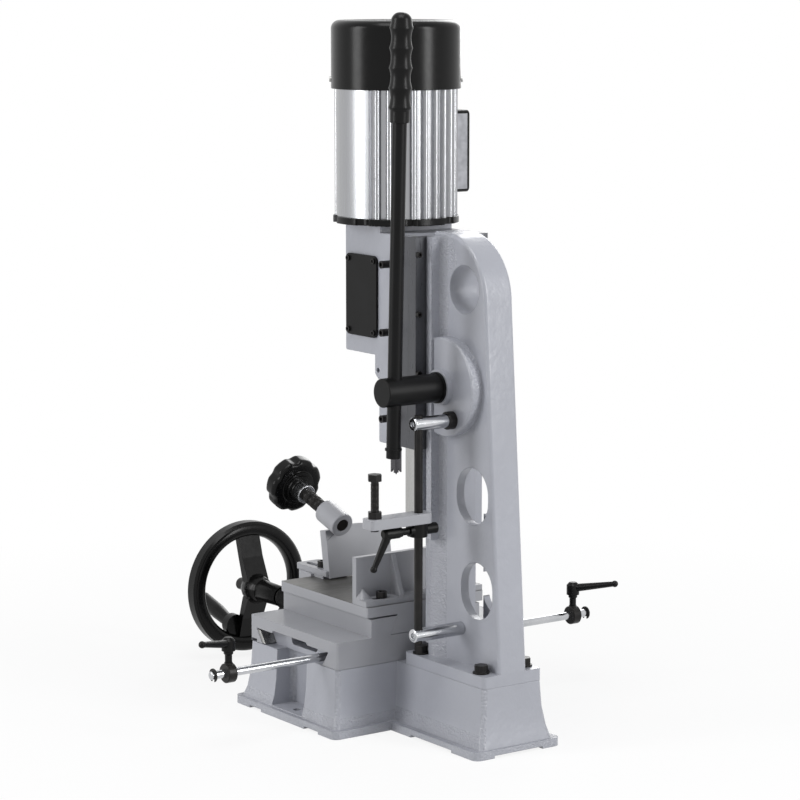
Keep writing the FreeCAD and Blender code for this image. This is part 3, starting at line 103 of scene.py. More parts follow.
def tone(code):
    """An sRGB hex colour as linear red, green, blue and alpha."""
    parts = [int(code[k:k + 2], 16) / 255 for k in (0, 2, 4)]
    return [c / 12.92 if c <= 0.04045 else ((c + 0.055) / 1.055) ** 2.4 for c in parts] + [1.0]


def shaded(colour, share):
    """The darker tone of a colour: each channel at a share of its strength."""
    return [channel * share for channel in colour[:3]] + [1.0]


# Finishes

def add(tree, kind, values=None, links=None):
    """Add a node: values set its properties or its input sockets, links feed its input sockets."""
    made = tree.nodes.new(kind)
    for key, value in (values or {}).items():
        if isinstance(key, str) and hasattr(made, key):
            setattr(made, key, value)
        else:
            made.inputs[key].default_value = value
    for key, socket in (links or {}).items():
        tree.links.new(socket, made.inputs[key])
    return made


def surface(name, light, dark, rough, spread, metallic, patch, grain, depth, stretch=(1, 1, 1), coat=0.0,
            anisotropic=0.0, specular=0.5, edge=0.0004):
    """Two tones in patches, roughness and a bump that follow the grain, and softened edges.

    patch and grain are the sizes of the tones' patches and of the grain, depth is the grain's height and edge the
    radius of the softened edges, all in metres. rough is the mean roughness and spread how far it goes either way.
    """
    found = bpy.data.materials.get(name)
    if found:
        return found
    material = bpy.data.materials.new(name)
    material.use_nodes = True
    tree = material.node_tree
    tree.nodes.clear()
    where = add(tree, "ShaderNodeTexCoord")
    laid = add(tree, "ShaderNodeMapping", {"Scale": stretch}, {"Vector": where.outputs["Object"]})
    clouds = add(tree, "ShaderNodeTexNoise", {"Scale": 1 / patch, "Detail": 4.0}, {"Vector": laid.outputs[0]})
    grains = add(tree, "ShaderNodeTexNoise", {"Scale": 1 / grain, "Detail": 2.0, "Roughness": 0.6},
                 {"Vector": laid.outputs[0]})
    tones = add(tree, "ShaderNodeValToRGB", None, {"Fac": clouds.outputs["Fac"]})
    tones.color_ramp.elements[0].position = 0.35
    tones.color_ramp.elements[0].color = dark
    tones.color_ramp.elements[1].position = 0.65
    tones.color_ramp.elements[1].color = light
    shine = add(tree, "ShaderNodeMapRange",
                {"From Min": 0.3, "From Max": 0.7, "To Min": max(rough - spread, 0.02), "To Max": rough + spread},
                {"Value": grains.outputs["Fac"]})
    soft = add(tree, "ShaderNodeBevel", {"samples": 4, "Radius": edge})
    bump = add(tree, "ShaderNodeBump", {"Strength": 1.0, "Distance": depth},
               {"Height": grains.outputs["Fac"], "Normal": soft.outputs[0]})
    shader = add(tree, "ShaderNodeBsdfPrincipled",
                 {"Metallic": metallic, "Coat Weight": coat, "Coat Roughness": 0.08, "Anisotropic": anisotropic,
                  "Specular IOR Level": specular},
                 {"Base Color": tones.outputs["Color"], "Roughness": shine.outputs["Result"],
                  "Normal": bump.outputs["Normal"]})
    if anisotropic:
        grain_way = add(tree, "ShaderNodeTangent", {"direction_type": "RADIAL", "axis": "Z"})
        tree.links.new(grain_way.outputs["Tangent"], shader.inputs["Tangent"])
    add(tree, "ShaderNodeOutputMaterial", None, {"Surface": shader.outputs["BSDF"]})
    return material


def cast_enamel():
    """Gloss enamel on dressed cast iron: even colour, and a faint unevenness of about 12 mm shows in the gloss."""
    enamel = list(bpy.context.scene.mortiser.enamel)
    return surface("Enamel on cast iron", enamel, shaded(enamel, 0.93),
                   rough=0.3, spread=0.02, metallic=0.0, patch=0.11, grain=0.012, depth=0.0006, coat=0.2,
                   edge=0.0018)


def sand_enamel():
    """The same enamel on undressed casting skin: the sand's grain, drawn 2.8 mm coarse, breaks the gloss up."""
    enamel = list(bpy.context.scene.mortiser.enamel)
    return surface("Enamel on sand-cast skin", enamel, shaded(enamel, 0.93),
                   rough=0.22, spread=0.03, metallic=0.0, patch=0.11, grain=0.0028, depth=0.0018, coat=0.35,
                   edge=0.0018)


def shaded_milled_enamel():
    """The same enamel on a milled face, its colour drawn darker than the castings' as painted shade: the cutter's 1
    mm marks lie under it, so it is smoother.
    """
    enamel = list(bpy.context.scene.mortiser.shaded_slide_enamel)
    return surface("Enamel on milled iron in painted shade", enamel, shaded(enamel, 0.94),
                   rough=0.36, spread=0.03, metallic=0.0, patch=0.08, grain=0.001, depth=0.00003, coat=0.12,
                   edge=0.0012)


def ground_iron_with_painted_shade():
    """Bare ground cast iron: dull grey, drawn darker as painted shade of the column and head, with grinding lines 0.4
    mm apart, drawn 1 mm wide to show.
    """
    return surface("Ground cast iron with painted shade", tone("666563"), tone("545350"),
                   rough=0.4, spread=0.06, metallic=0.6, patch=0.05, grain=0.001, depth=0.00001,
                   stretch=(0.08, 1, 1))


def milled_steel():
    """Milled and oiled steel of ways, gibs and racks: grey metal with upright lines 0.8 mm apart."""
    return surface("Milled steel", tone("B2B2B1"), tone("9A9A98"),
                   rough=0.3, spread=0.06, metallic=1.0, patch=0.03, grain=0.0008, depth=0.000008,
                   stretch=(1, 1, 0.06))


def dark_steel_and_painted_shade():
    """Oiled strip steel of the cheek and keepers: dark grey, satin, with upright lines 0.8 mm apart; on the cheek the
    dark grey is also painted shade of the feed lever.
    """
    return surface("Oiled strip steel and painted shade", tone("55565A"), tone("3C3D40"),
                   rough=0.34, spread=0.08, metallic=0.6, patch=0.06, grain=0.0008, depth=0.00001,
                   stretch=(1, 1, 0.05))


def chromed_steel():
    """Bright plated steel of the studs and stop rods: mirror-like with a faint haze of polishing."""
    return surface("Chromed steel", tone("C2C3C6"), tone("B4B6B9"),
                   rough=0.14, spread=0.03, metallic=1.0, patch=0.02, grain=0.002, depth=0.000004)


def tool_steel():
    """Ground tool steel of the chisel and bit: warmer grey with grinding lines 0.6 mm apart."""
    return surface("Ground tool steel", tone("5E5D60"), tone("4E4D50"),
                   rough=0.28, spread=0.06, metallic=1.0, patch=0.012, grain=0.0006, depth=0.000006,
                   stretch=(1, 1, 0.1))


def blacked_steel():
    """Black oxide on screws, bars and rods: a thin brown-black skin that keeps a satin metal sheen."""
    return surface("Black oxide steel", tone("1E1C1B"), tone("121111"),
                   rough=0.34, spread=0.05, metallic=0.2, patch=0.015, grain=0.0012, depth=0.00001,
                   specular=0.25)


def gloss_black():
    """Black stoving enamel on the motor's cap, handwheel and cover: deep gloss with slight orange peel of 5 mm."""
    return surface("Black stoving enamel", tone("060606"), tone("040404"),
                   rough=0.24, spread=0.03, metallic=0.0, patch=0.05, grain=0.005, depth=0.00002, specular=0.17)


def satin_black():
    """Satin black paint on the lever, its hub and the chuck cover: fine 0.8 mm grain that dulls the light."""
    return surface("Satin black paint", tone("0E0E0F"), tone("090909"),
                   rough=0.4, spread=0.05, metallic=0.0, patch=0.03, grain=0.0008, depth=0.00002, specular=0.14)


def black_plastic():
    """Moulded black nylon of grips, knob and switch box: smooth with a soft sheen."""
    return surface("Moulded black nylon", tone("0B0B0B"), tone("070707"),
                   rough=0.32, spread=0.04, metallic=0.0, patch=0.04, grain=0.0015, depth=0.00001,
                   specular=0.17)


def extruded_aluminium():
    """Bare extruded aluminium of the motor: bright, with die lines along its length, drawn 3 mm wide to show."""
    return surface("Extruded aluminium", tone("A3A4A6"), tone("9C9DA0"),
                   rough=0.27, spread=0.01, metallic=1.0, patch=0.05, grain=0.003, depth=0.000001,
                   stretch=(1, 1, 0.01), anisotropic=0.4)


def zinc_sheet():
    """Dull grey cover sheet on the side of the switch box: even, with a soft spangle of 8 mm."""
    return surface("Galvanised sheet", tone("8D8E92"), tone("7B7C80"),
                   rough=0.45, spread=0.06, metallic=0.5, patch=0.008, grain=0.002, depth=0.00001)


def bronze():
    """Tin bronze of the bushes: warm brown metal."""
    return surface("Tin bronze", tone("B78A55"), tone("9A6F3F"),
                   rough=0.35, spread=0.1, metallic=1.0, patch=0.02, grain=0.001, depth=0.00001)


def coppered_steel():
    """Copper-flashed steel of the gib screws: pinkish orange with duller spots."""
    return surface("Copper-flashed steel", tone("C98A63"), tone("A96C48"),
                   rough=0.38, spread=0.1, metallic=1.0, patch=0.008, grain=0.0012, depth=0.00001)


def stacked_steel():
    """Laminated core of the motor: its sheets, 0.5 mm thick, show as fine level lines."""
    return surface("Laminated core steel", tone("6E6A66"), tone("4B4846"),
                   rough=0.5, spread=0.1, metallic=0.8, patch=0.02, grain=0.0006, depth=0.00003,
                   stretch=(0.05, 0.05, 1))


FINISHES = {
    "cast": (cast_enamel, "grey_casting"),
    "milled": (shaded_milled_enamel, "grey_casting"),
    "sand": (sand_enamel, "grey_casting"),
    "ground": (ground_iron_with_painted_shade, "grey_casting"),
    "strip": (dark_steel_and_painted_shade, "machined_steel"),
    "zinc": (zinc_sheet, "machined_steel"),
    "steel": (milled_steel, "machined_steel"),
    "chrome": (chromed_steel, "chrome_steel"),
    "tool": (tool_steel, "tool_steel"),
    "oxide": (blacked_steel, "black_steel"),
    "gloss": (gloss_black, "black_paint"),
    "satin": (satin_black, "black_paint"),
    "plastic": (black_plastic, "black_plastic"),
    "lever": (black_plastic, "black_lever"),
    "aluminium": (extruded_aluminium, "motor_aluminium"),
    "bronze": (bronze, "bronze"),
    "copper": (coppered_steel, "bronze"),
    "core": (stacked_steel, "machined_steel"),
}


# Meshes

def settle(mesh, name, finish, body, nodes=(), sharp=34.0, edge=0.0):
    """Make the object of a mesh: smooth shading, rounded edges, finish, body and the nodes it stands for."""
    make, slot = FINISHES[finish]
    if not mesh.materials:
        mesh.materials.append(make())
    for face in mesh.polygons:
        face.use_smooth = True
    mesh.set_sharp_from_angle(angle=math.radians(sharp))
    piece = bpy.data.objects.new(name, mesh)
    bpy.context.scene.collection.objects.link(piece)
    if edge:
        rounded = piece.modifiers.new("Rounded edges", "BEVEL")
        rounded.width = edge
        rounded.segments = 2
        rounded.limit_method = "ANGLE"
        rounded.angle_limit = math.radians(sharp)
        rounded.use_clamp_overlap = True
        rounded.harden_normals = True
    even = piece.modifiers.new("Even shading", "WEIGHTED_NORMAL")
    even.keep_sharp = True
    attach(piece, body)
    if nodes:
        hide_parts(*nodes)


def whole_mesh(node):
    """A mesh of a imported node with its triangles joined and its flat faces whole."""
    mesh = frame["nodes"][node].data.copy()
    mesh.materials.clear()
    shape = bmesh.new()
    shape.from_mesh(mesh)
    bmesh.ops.remove_doubles(shape, verts=shape.verts, dist=2e-6)
    bmesh.ops.dissolve_limit(shape, angle_limit=math.radians(0.4), verts=shape.verts, edges=shape.edges)
    for face in shape.faces:
        face.material_index = 0
    shape.to_mesh(mesh)
    shape.free()
    return mesh


def body_of(node):
    """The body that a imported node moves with."""
    return frame["nodes"][node]["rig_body"]


def dress(node, finish, edge=0.0, areas=()):
    """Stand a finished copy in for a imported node; areas are (finish, picks(centre, normal)) pairs for its faces."""
    mesh = whole_mesh(node)
    mesh.materials.append(FINISHES[finish][0]())
    for other, picks in areas:
        mesh.materials.append(FINISHES[other][0]())
        for face in mesh.polygons:
            if picks(face.center, face.normal):
                face.material_index = len(mesh.materials) - 1
    settle(mesh, node + "_finished", finish, body_of(node), (node,), edge=edge)


def keep(node, finish):
    """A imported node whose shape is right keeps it, and takes its finish."""
    make, slot = FINISHES[finish]
    packed = frame["nodes"][node]
    packed.data.materials.clear()
    packed.data.materials.append(make())


def closed_mesh(shape, name):
    """The mesh of a closed shape, with its faces pointing outwards."""
    bmesh.ops.recalc_face_normals(shape, faces=shape.faces)
    mesh = bpy.data.meshes.new(name)
    shape.to_mesh(mesh)
    shape.free()
    return mesh


def full_turn(steps):
    """The angles of a full turn in equal steps."""
    return [2 * math.pi * k / steps for k in range(steps)]


def turned(profile, steps):
    """A closed turned mesh about Z from (radius, height) points, from the axis out and back to it."""
    shape = bmesh.new()
    rings = []
    for r, z in profile:
        if r < 1e-7:
            rings.append([shape.verts.new((0, 0, z))])
        else:
            rings.append([shape.verts.new((r * math.cos(a), r * math.sin(a), z)) for a in full_turn(steps)])
    for low, high in zip(rings, rings[1:]):
        for k in range(steps):
            j = (k + 1) % steps
            corners = [low[k % len(low)], low[j % len(low)], high[j % len(high)], high[k % len(high)]]
            distinct = list(dict.fromkeys(corners))
            if len(distinct) > 2:
                shape.faces.new(distinct)
    bmesh.ops.remove_doubles(shape, verts=shape.verts, dist=1e-7)
    return closed_mesh(shape, "turned")


def extruded(name, outline, low, high, bore=0.0):
    """A bar along Z from an outline, with a round bore where one is given."""
    shape = bmesh.new()
    below = [shape.verts.new((x, y, low)) for x, y in outline]
    above = [shape.verts.new((x, y, high)) for x, y in outline]
    count = len(outline)
    for k in range(count):
        j = (k + 1) % count
        shape.faces.new([below[k], below[j], above[j], above[k]])
    if bore:
        turns = [math.atan2(y, x) for x, y in outline]
        inner_low = [shape.verts.new((bore * math.cos(a), bore * math.sin(a), low)) for a in turns]
        inner_high = [shape.verts.new((bore * math.cos(a), bore * math.sin(a), high)) for a in turns]
        for k in range(count):
            j = (k + 1) % count
            shape.faces.new([inner_low[k], inner_low[j], inner_high[j], inner_high[k]])
            shape.faces.new([below[k], below[j], inner_low[j], inner_low[k]])
            shape.faces.new([above[k], above[j], inner_high[j], inner_high[k]])
    else:
        shape.faces.new(below)
        shape.faces.new(above)
    return closed_mesh(shape, name)


def hex_socket_screw(head_r, height, socket):
    """Head of a cap screw that stands on z 0, with a hexagon socket sunk in its top."""
    steps = 24
    shape = bmesh.new()
    rings = []
    for r, z in ((head_r, 0), (head_r, height * 0.88), (head_r * 0.9, height), (socket * 1.2, height)):
        rings.append([shape.verts.new((r * math.cos(a), r * math.sin(a), z)) for a in full_turn(steps)])
    for z in (height, height * 0.45):
        corners = []
        for a in full_turn(steps):
            flat = math.cos(math.pi / 6) / math.cos((a % (math.pi / 3)) - math.pi / 6)
            corners.append(shape.verts.new((socket * flat * math.cos(a), socket * flat * math.sin(a), z)))
        rings.append(corners)
    for low, high in zip(rings, rings[1:]):
        for k in range(steps):
            j = (k + 1) % steps
            shape.faces.new([low[k], low[j], high[j], high[k]])
    shape.faces.new(rings[-1])
    shape.faces.new(list(reversed(rings[0])))
    return closed_mesh(shape, "screw head")


def turn_to(way, place):
    """The matrix that takes a piece made along +Z from the origin to a place and a heading."""
    return Matrix.Translation(place) @ Vector(way).to_track_quat("Z", "Y").to_matrix().to_4x4()


def joined(name, meshes):
    """Several meshes as one."""
    shape = bmesh.new()
    for mesh in meshes:
        shape.from_mesh(mesh)
    whole = bpy.data.meshes.new(name)
    shape.to_mesh(whole)
    shape.free()
    return whole


# Node trees for what repeats

def new_group(name, inputs):
    """A geometry node group with named inputs (title, socket type, default), and its input node."""
    group = bpy.data.node_groups.new(name, "GeometryNodeTree")
    group.interface.new_socket("Geometry", in_out="OUTPUT", socket_type="NodeSocketGeometry")
    for title, kind, value in inputs:
        socket = group.interface.new_socket(title, in_out="INPUT", socket_type="NodeSocket" + kind)
        if value is not None:
            socket.default_value = value
    return group, group.nodes.new("NodeGroupInput")


def close_group(group, source, geometry):
    """End a group in Realize Instances and Set Material."""
    real = add(group, "GeometryNodeRealizeInstances", None, {"Geometry": geometry})
    painted = add(group, "GeometryNodeSetMaterial", None, {"Geometry": real.outputs[0],
                                                           "Material": source.outputs["Finish"]})
    add(group, "NodeGroupOutput", None, {0: painted.outputs[0]})


def ring_group():
    """Copies of a piece on a circle about Z, each facing out, with a plain arc about +X left free."""
    found = bpy.data.node_groups.get("Ring of pieces")
    if found:
        return found
    group, source = new_group("Ring of pieces", [
        ("Piece", "Object", None), ("Count", "Int", 12), ("Radius", "Float", 0.05), ("Start", "Float", 0.0),
        ("Plain arc", "Float", 0.0), ("Face out", "Float", 1.0), ("Finish", "Material", None)])
    circle = add(group, "GeometryNodeMeshCircle", None, {"Vertices": source.outputs["Count"],
                                                         "Radius": source.outputs["Radius"]})
    spin = add(group, "ShaderNodeCombineXYZ", None, {"Z": source.outputs["Start"]})
    turned_ring = add(group, "GeometryNodeTransform", None, {"Geometry": circle.outputs["Mesh"],
                                                             "Rotation": spin.outputs[0]})
    spot = add(group, "GeometryNodeInputPosition")
    apart = add(group, "ShaderNodeSeparateXYZ", None, {0: spot.outputs[0]})
    angle = add(group, "ShaderNodeMath", {"operation": "ARCTAN2"}, {0: apart.outputs["Y"], 1: apart.outputs["X"]})
    size = add(group, "ShaderNodeMath", {"operation": "ABSOLUTE"}, {0: angle.outputs[0]})
    clear = add(group, "FunctionNodeCompare", {"operation": "GREATER_THAN"},
                {"A": size.outputs[0], "B": source.outputs["Plain arc"]})
    heading = add(group, "ShaderNodeMath", {"operation": "MULTIPLY"}, {0: angle.outputs[0],
                                                                       1: source.outputs["Face out"]})
    turn = add(group, "ShaderNodeCombineXYZ", None, {"Z": heading.outputs[0]})
    piece = add(group, "GeometryNodeObjectInfo", None, {"Object": source.outputs["Piece"]})
    copies = add(group, "GeometryNodeInstanceOnPoints", None, {
        "Points": turned_ring.outputs[0], "Selection": clear.outputs["Result"],
        "Instance": piece.outputs["Geometry"], "Rotation": turn.outputs[0]})
    close_group(group, source, copies.outputs[0])
    return group


def thread_group():
    """A screw thread's ridge: a four-sided bar that follows a helix about Z."""
    found = bpy.data.node_groups.get("Screw thread")
    if found:
        return found
    group, source = new_group("Screw thread", [
        ("Radius", "Float", 0.008), ("Pitch", "Float", 0.002), ("Turns", "Float", 10.0), ("Ridge", "Float", 0.001),
        ("Finish", "Material", None)])
    height = add(group, "ShaderNodeMath", {"operation": "MULTIPLY"}, {0: source.outputs["Pitch"],
                                                                      1: source.outputs["Turns"]})
    helix = add(group, "GeometryNodeCurveSpiral", {"Resolution": 28}, {
        "Rotations": source.outputs["Turns"], "Start Radius": source.outputs["Radius"],
        "End Radius": source.outputs["Radius"], "Height": height.outputs[0]})
    ridge = add(group, "GeometryNodeCurvePrimitiveCircle", {"Resolution": 4}, {"Radius": source.outputs["Ridge"]})
    swept = add(group, "GeometryNodeCurveToMesh", {"Fill Caps": True}, {"Curve": helix.outputs[0],
                                                                        "Profile Curve": ridge.outputs[0]})
    close_group(group, source, swept.outputs[0])
    return group


def grown(name, group, values):
    """The plain mesh that a node group makes, with its inputs set by their identifiers."""
    carrier = bpy.data.objects.new(name, bpy.data.meshes.new(name))
    bpy.context.scene.collection.objects.link(carrier)
    nodes = carrier.modifiers.new("Nodes", "NODES")
    nodes.node_group = group
    for item in group.interface.items_tree:
        if item.item_type == "SOCKET" and item.in_out == "INPUT" and item.name in values:
            nodes[item.identifier] = values[item.name]
    baked = carrier.evaluated_get(bpy.context.evaluated_depsgraph_get())
    mesh = bpy.data.meshes.new_from_object(baked)
    bpy.data.objects.remove(carrier)
    # The tree's mesh can hold an empty slot beside the finish, so settle gives it its one slot
    mesh.materials.clear()
    return mesh


def ring_of(name, mesh, finish, count, radius, start=0.0, plain_arc=0.0, face_out=1.0):
    """Copies of a mesh round Z at the origin, made by the ring's node group."""
    sample = bpy.data.objects.new(name + " sample", mesh)
    bpy.context.scene.collection.objects.link(sample)
    made = grown(name, ring_group(), {
        "Piece": sample, "Count": count, "Radius": radius, "Start": start, "Plain arc": plain_arc,
        "Face out": face_out, "Finish": FINISHES[finish][0]()})
    bpy.data.objects.remove(sample)
    return made


def thread(name, radius, pitch, count):
    """The blacked ridge of a thread about Z, from its radius, its pitch and its count of turns."""
    return grown(name, thread_group(), {"Radius": radius, "Pitch": pitch, "Turns": count, "Ridge": pitch * 0.45,
                                        "Finish": blacked_steel()})


# Pieces

class MortiserSettings(bpy.types.PropertyGroup):
    """Sizes and colours of the mortiser's finish."""

    enamel: bpy.props.FloatVectorProperty(
        name="Enamel", description="Colour of the painted castings", subtype="COLOR", size=4, min=0, max=1,
        default=tone("A3A5AD"))
    # The casting enamel drawn darker: painted shade on the milled slides, table and fence
    shaded_slide_enamel: bpy.props.FloatVectorProperty(
        name="Shaded slide enamel", description="Colour of the paint on the milled slides, table and fence",
        subtype="COLOR", size=4, min=0, max=1, default=tone("9B9CA1"))
    cast_edge: bpy.props.FloatProperty(
        name="Cast edge", description="Rounding of the castings' edges", unit="LENGTH", default=0.0012)
    fine_edge: bpy.props.FloatProperty(
        name="Fine edge", description="Rounding of small machined edges", unit="LENGTH", default=0.0004)
    rib_count: bpy.props.IntProperty(
        name="Motor ribs", description="Ribs round the motor, counted as if it had no plain panel", default=30)
    rib_height: bpy.props.FloatProperty(
        name="Rib height", description="How far a motor rib stands out", unit="LENGTH", default=0.006)
    clamp_pitch: bpy.props.FloatProperty(
        name="Clamp screw pitch", description="Spacing of the clamp screw's ridges", unit="LENGTH", default=0.002)
    bolt_pitch: bpy.props.FloatProperty(
        name="Stop bolt pitch", description="Spacing of the stop bolt's ridges", unit="LENGTH", default=0.0015)


class MORTISER_OT_castings(bpy.types.Operator):
    """Enamelled castings with rounded edges."""

    bl_idname = "mortiser.castings"
    bl_label = "Castings"

    def execute(self, context):
        edge = context.scene.mortiser.cast_edge
        dress("base_casting", "cast", edge, [("sand", self.is_plinth), ("sand", self.is_corner_blend)])
        dress("column_casting", "cast", edge, [("sand", self.is_column_blend), ("steel", self.is_way)])
        dress("gear_cover", "cast", edge)
        self.cover_screws()
        # The milled parts take the darker copy of the enamel: painted shade
        dress("saddle_casting", "milled", edge)
        # The cheeks take dark strip steel: bare steel, drawn dark also as painted shade of the feed lever
        dress("head_casting", "cast", edge, [("strip", self.is_cheek_in_painted_shade)])
        # The table top takes bare ground iron, drawn darker as painted shade of the column and head
        dress("table_plate", "milled", edge, [("ground", self.is_table_top)])
        dress("rear_fence", "milled", edge)
        dress("clamp_bracket", "milled", edge)
        dress("depth_arm", "milled", edge * 0.6)
        dress("feed_bracket", "gloss", edge)
        return {"FINISHED"}

    def cover_screws(self):
        """Three screws on the rear half of the gear cover's left face; the plain arc keeps the front half free."""
        head = hex_socket_screw(head_r=0.0042, height=0.0042, socket=0.0022)
        screws = ring_of("Cover screws", head, "oxide", 6, 0.0475, plain_arc=math.radians(80), face_out=0.0)
        # The ring's +Z is laid to the left, its +X to the front and its +Y upwards
        screws.transform(Matrix(((0, 0, -1, COVER_FACE), (-1, 0, 0, DRIVE.y), (0, 1, 0, DRIVE.z), (0, 0, 0, 1))))
        settle(screws, "cover_screws", "oxide", "base")

    def is_plinth(self, centre, normal):
        """True on the base's undressed foot: its low edge and the blend above it."""
        return centre.z < PLINTH_TOP or (centre.z < PLINTH_BLEND_TOP and 0.25 < normal.z < 0.97)

    def is_corner_blend(self, centre, normal):
        """True on the base's blends between upright walls."""
        return abs(normal.x) > 0.2 and abs(normal.y) > 0.2 and abs(normal.z) < 0.9

    def is_column_blend(self, centre, normal):
        """True on the column's undressed skin: its blends, the flank of the gear housing and the rim."""
        if centre.z < BLEND_LOW or centre.x < 0:
            return False
        behind_ways = BLEND_FRONT < centre.y < BLEND_REAR
        outside_housing = (Vector((0, centre.y, centre.z)) - DRIVE).length > HOUSING_REACH
        flank = outside_housing and FLANK_INNER < centre.x < FLANK_OUTER
        return behind_ways or (flank and abs(normal.x) < 0.9)

    def is_way(self, centre, normal):
        """True on the machined sides of the column's way plate."""
        return (centre.y < WAYS_REAR and abs(centre.x) > WAYS_SIDE and centre.z > WAYS_LOW
                and abs(normal.x) > 0.9)

    def is_cheek_in_painted_shade(self, centre, normal):
        """True on the sides of the head's cheeks, which take dark bare steel that is also painted shade of the feed
        lever.
        """
        return (centre.y > CHEEK_FRONT and abs(normal.x) > 0.9
                and CHEEK_INNER < abs(centre.x) < CHEEK_OUTER)

    def is_table_top(self, centre, normal):
        """True on the table's ground top."""
        return normal.z > 0.95 and abs(centre.z - TABLE_TOP) < 0.0005


class MORTISER_OT_motor(bpy.types.Operator):
    """Motor: ribbed housing, cap, flange and switch box."""

    bl_idname = "mortiser.motor"
    bl_label = "Motor"

    def execute(self, context):
        sizes = context.scene.mortiser
        low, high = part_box("motor_body")
        core = 0.067
        panel = core + sizes.rib_height * 0.72
        arc = math.radians(31)
        rib = self.rib(core, sizes.rib_height, low.z, high.z)
        ribs = ring_of("Motor ribs", rib, "aluminium", sizes.rib_count, AT_OWN_RADIUS, plain_arc=arc)
        whole = joined("Motor housing", [ribs, self.shell(core, panel, arc, low.z, high.z)])
        whole.transform(Matrix.Translation(SPINDLE))
        settle(whole, "motor_housing", "aluminium", "head", ("motor_body",), sharp=28)
        dress("fan_cover", "gloss", 0.0006)
        dress("motor_flange", "gloss", 0.0006)
        dress("switch_box", "plastic", 0.0008)
        self.switch_side()
        dress("switch_rocker", "plastic", sizes.fine_edge)
        self.cap_screws(radius=0.0768, height=0.7664)
        return {"FINISHED"}

    def cap_screws(self, radius, height):
        """Four bright screws that stand out round the lower edge of the motor's cap."""
        head = hex_socket_screw(head_r=0.0032, height=0.0022, socket=0.0017)
        head.transform(Matrix.Rotation(math.pi / 2, 4, "Y"))
        head.transform(Matrix.Translation((radius, 0, 0)))
        screws = ring_of("Cap screws", head, "steel", 4, AT_OWN_RADIUS, start=math.radians(-35.4))
        screws.transform(Matrix.Translation(SPINDLE + Vector((0, 0, height))))
        settle(screws, "cap_screws", "steel", "head")

    def switch_side(self):
        """The dull plate let into the rear side of the switch box."""
        low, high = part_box("switch_box")
        left, right = low.x + 0.0035, -0.0665
        sunk, proud = high.y - 0.001, high.y + 0.0003
        margin = 0.004
        outline = [(left, sunk), (right, sunk), (right, proud), (left, proud)]
        plate = extruded("plate", outline, low.z + margin, high.z - margin)
        settle(plate, "switch_side_plate", "zinc", "head")

    def rib(self, core, height, low, high):
        """One rib: a tapered bar with a round tip, rooted in the housing's wall at +X."""
        tip = 0.0032
        root = 0.0046
        foot = core - 0.001
        outline = []
        for k in range(9):
            a = math.pi * (k / 8 - 0.5)
            outline.append((core + height - tip + tip * math.cos(a), tip * math.sin(a)))
        outline = [(foot, -root)] + outline + [(foot, root)]
        return extruded("rib", outline, low, high)

    def shell(self, core, panel, arc, low, high):
        """The wall of the housing: round at the core, and thicker over the plain panel at +X."""
        thick = 0.005
        step_back = 0.02
        outline = []
        for a in full_turn(180):
            away = min(a, 2 * math.pi - a)
            r = panel if away < arc - step_back else core
            outline.append((r * math.cos(a), r * math.sin(a)))
        return extruded("wall", outline, low, high, core - thick)


class MORTISER_OT_lever(bpy.types.Operator):
    """Feed lever: hub, bar and waved grip."""

    bl_idname = "mortiser.lever"
    bl_label = "Feed lever"

    def execute(self, context):
        dress("lever_hub", "satin", 0.0008)
        dress("lever_bar", "satin", 0.0004)
        grip = turned(self.grip_profile(), 72)
        grip_start = 0.307
        grip.transform(turn_to(LEVER_WAY, LEVER_CENTRE + LEVER_WAY * grip_start))
        settle(grip, "lever_grip_finished", "plastic", "lever", ("lever_grip",), sharp=60)
        dress("drive_shaft", "steel")
        keep("drive_gear", "steel")
        dress("drive_bushes", "bronze", 0.0003)
        return {"FINISHED"}

    def grip_profile(self):
        """Outline of the grip: a plain collar, four finger hollows between ridges, and a domed end."""
        ridge = 0.0135
        dip = 0.0022
        start = 0.0165
        step = 0.0222
        points = [(0.00826, 0.0), (0.0108, 0.0), (0.0112, 0.0006), (0.0112, 0.0125), (0.0118, 0.0142)]
        for k in range(4):
            low = start + step * k
            for i in range(13):
                share = i / 12
                hollow = math.sin(math.pi * share) ** 0.8
                points.append((ridge - dip * hollow, low + step * share))
        top = start + 4 * step
        dome_r, dome_height = 0.0134, 0.0175
        for i in range(1, 13):
            a = math.pi / 2 * i / 12
            waist = dip * math.sin(math.pi * min(1, i / 5)) if i < 5 else 0
            points.append((dome_r * math.cos(a) ** 0.7 - waist * 0.4, top + dome_height * math.sin(a)))
        points[-1] = (0.0, points[-1][1])
        return points


class MORTISER_OT_head(bpy.types.Operator):
    """Chuck cover, screws, chisel and bit of the head."""

    bl_idname = "mortiser.head"
    bl_label = "Head"

    def execute(self, context):
        fine = context.scene.mortiser.fine_edge
        dress("chuck_cover", "satin", fine * 2)
        dress("keeper_strips", "strip", fine)
        dress("head_gib", "strip", fine)
        dress("head_screws", "oxide", fine * 0.5)
        dress("head_set_screws", "oxide", fine)
        dress("head_rack", "steel")
        dress("chisel_holder", "oxide", fine)
        dress("mortise_chisel", "tool", fine * 0.3)
        dress("auger_bit", "tool")
        dress("drill_chuck", "steel", fine)
        for node in ("motor_bearings", "motor_rotor"):
            keep(node, "steel")
        keep("stator", "core")
        keep("cooling_fan", "plastic")
        return {"FINISHED"}


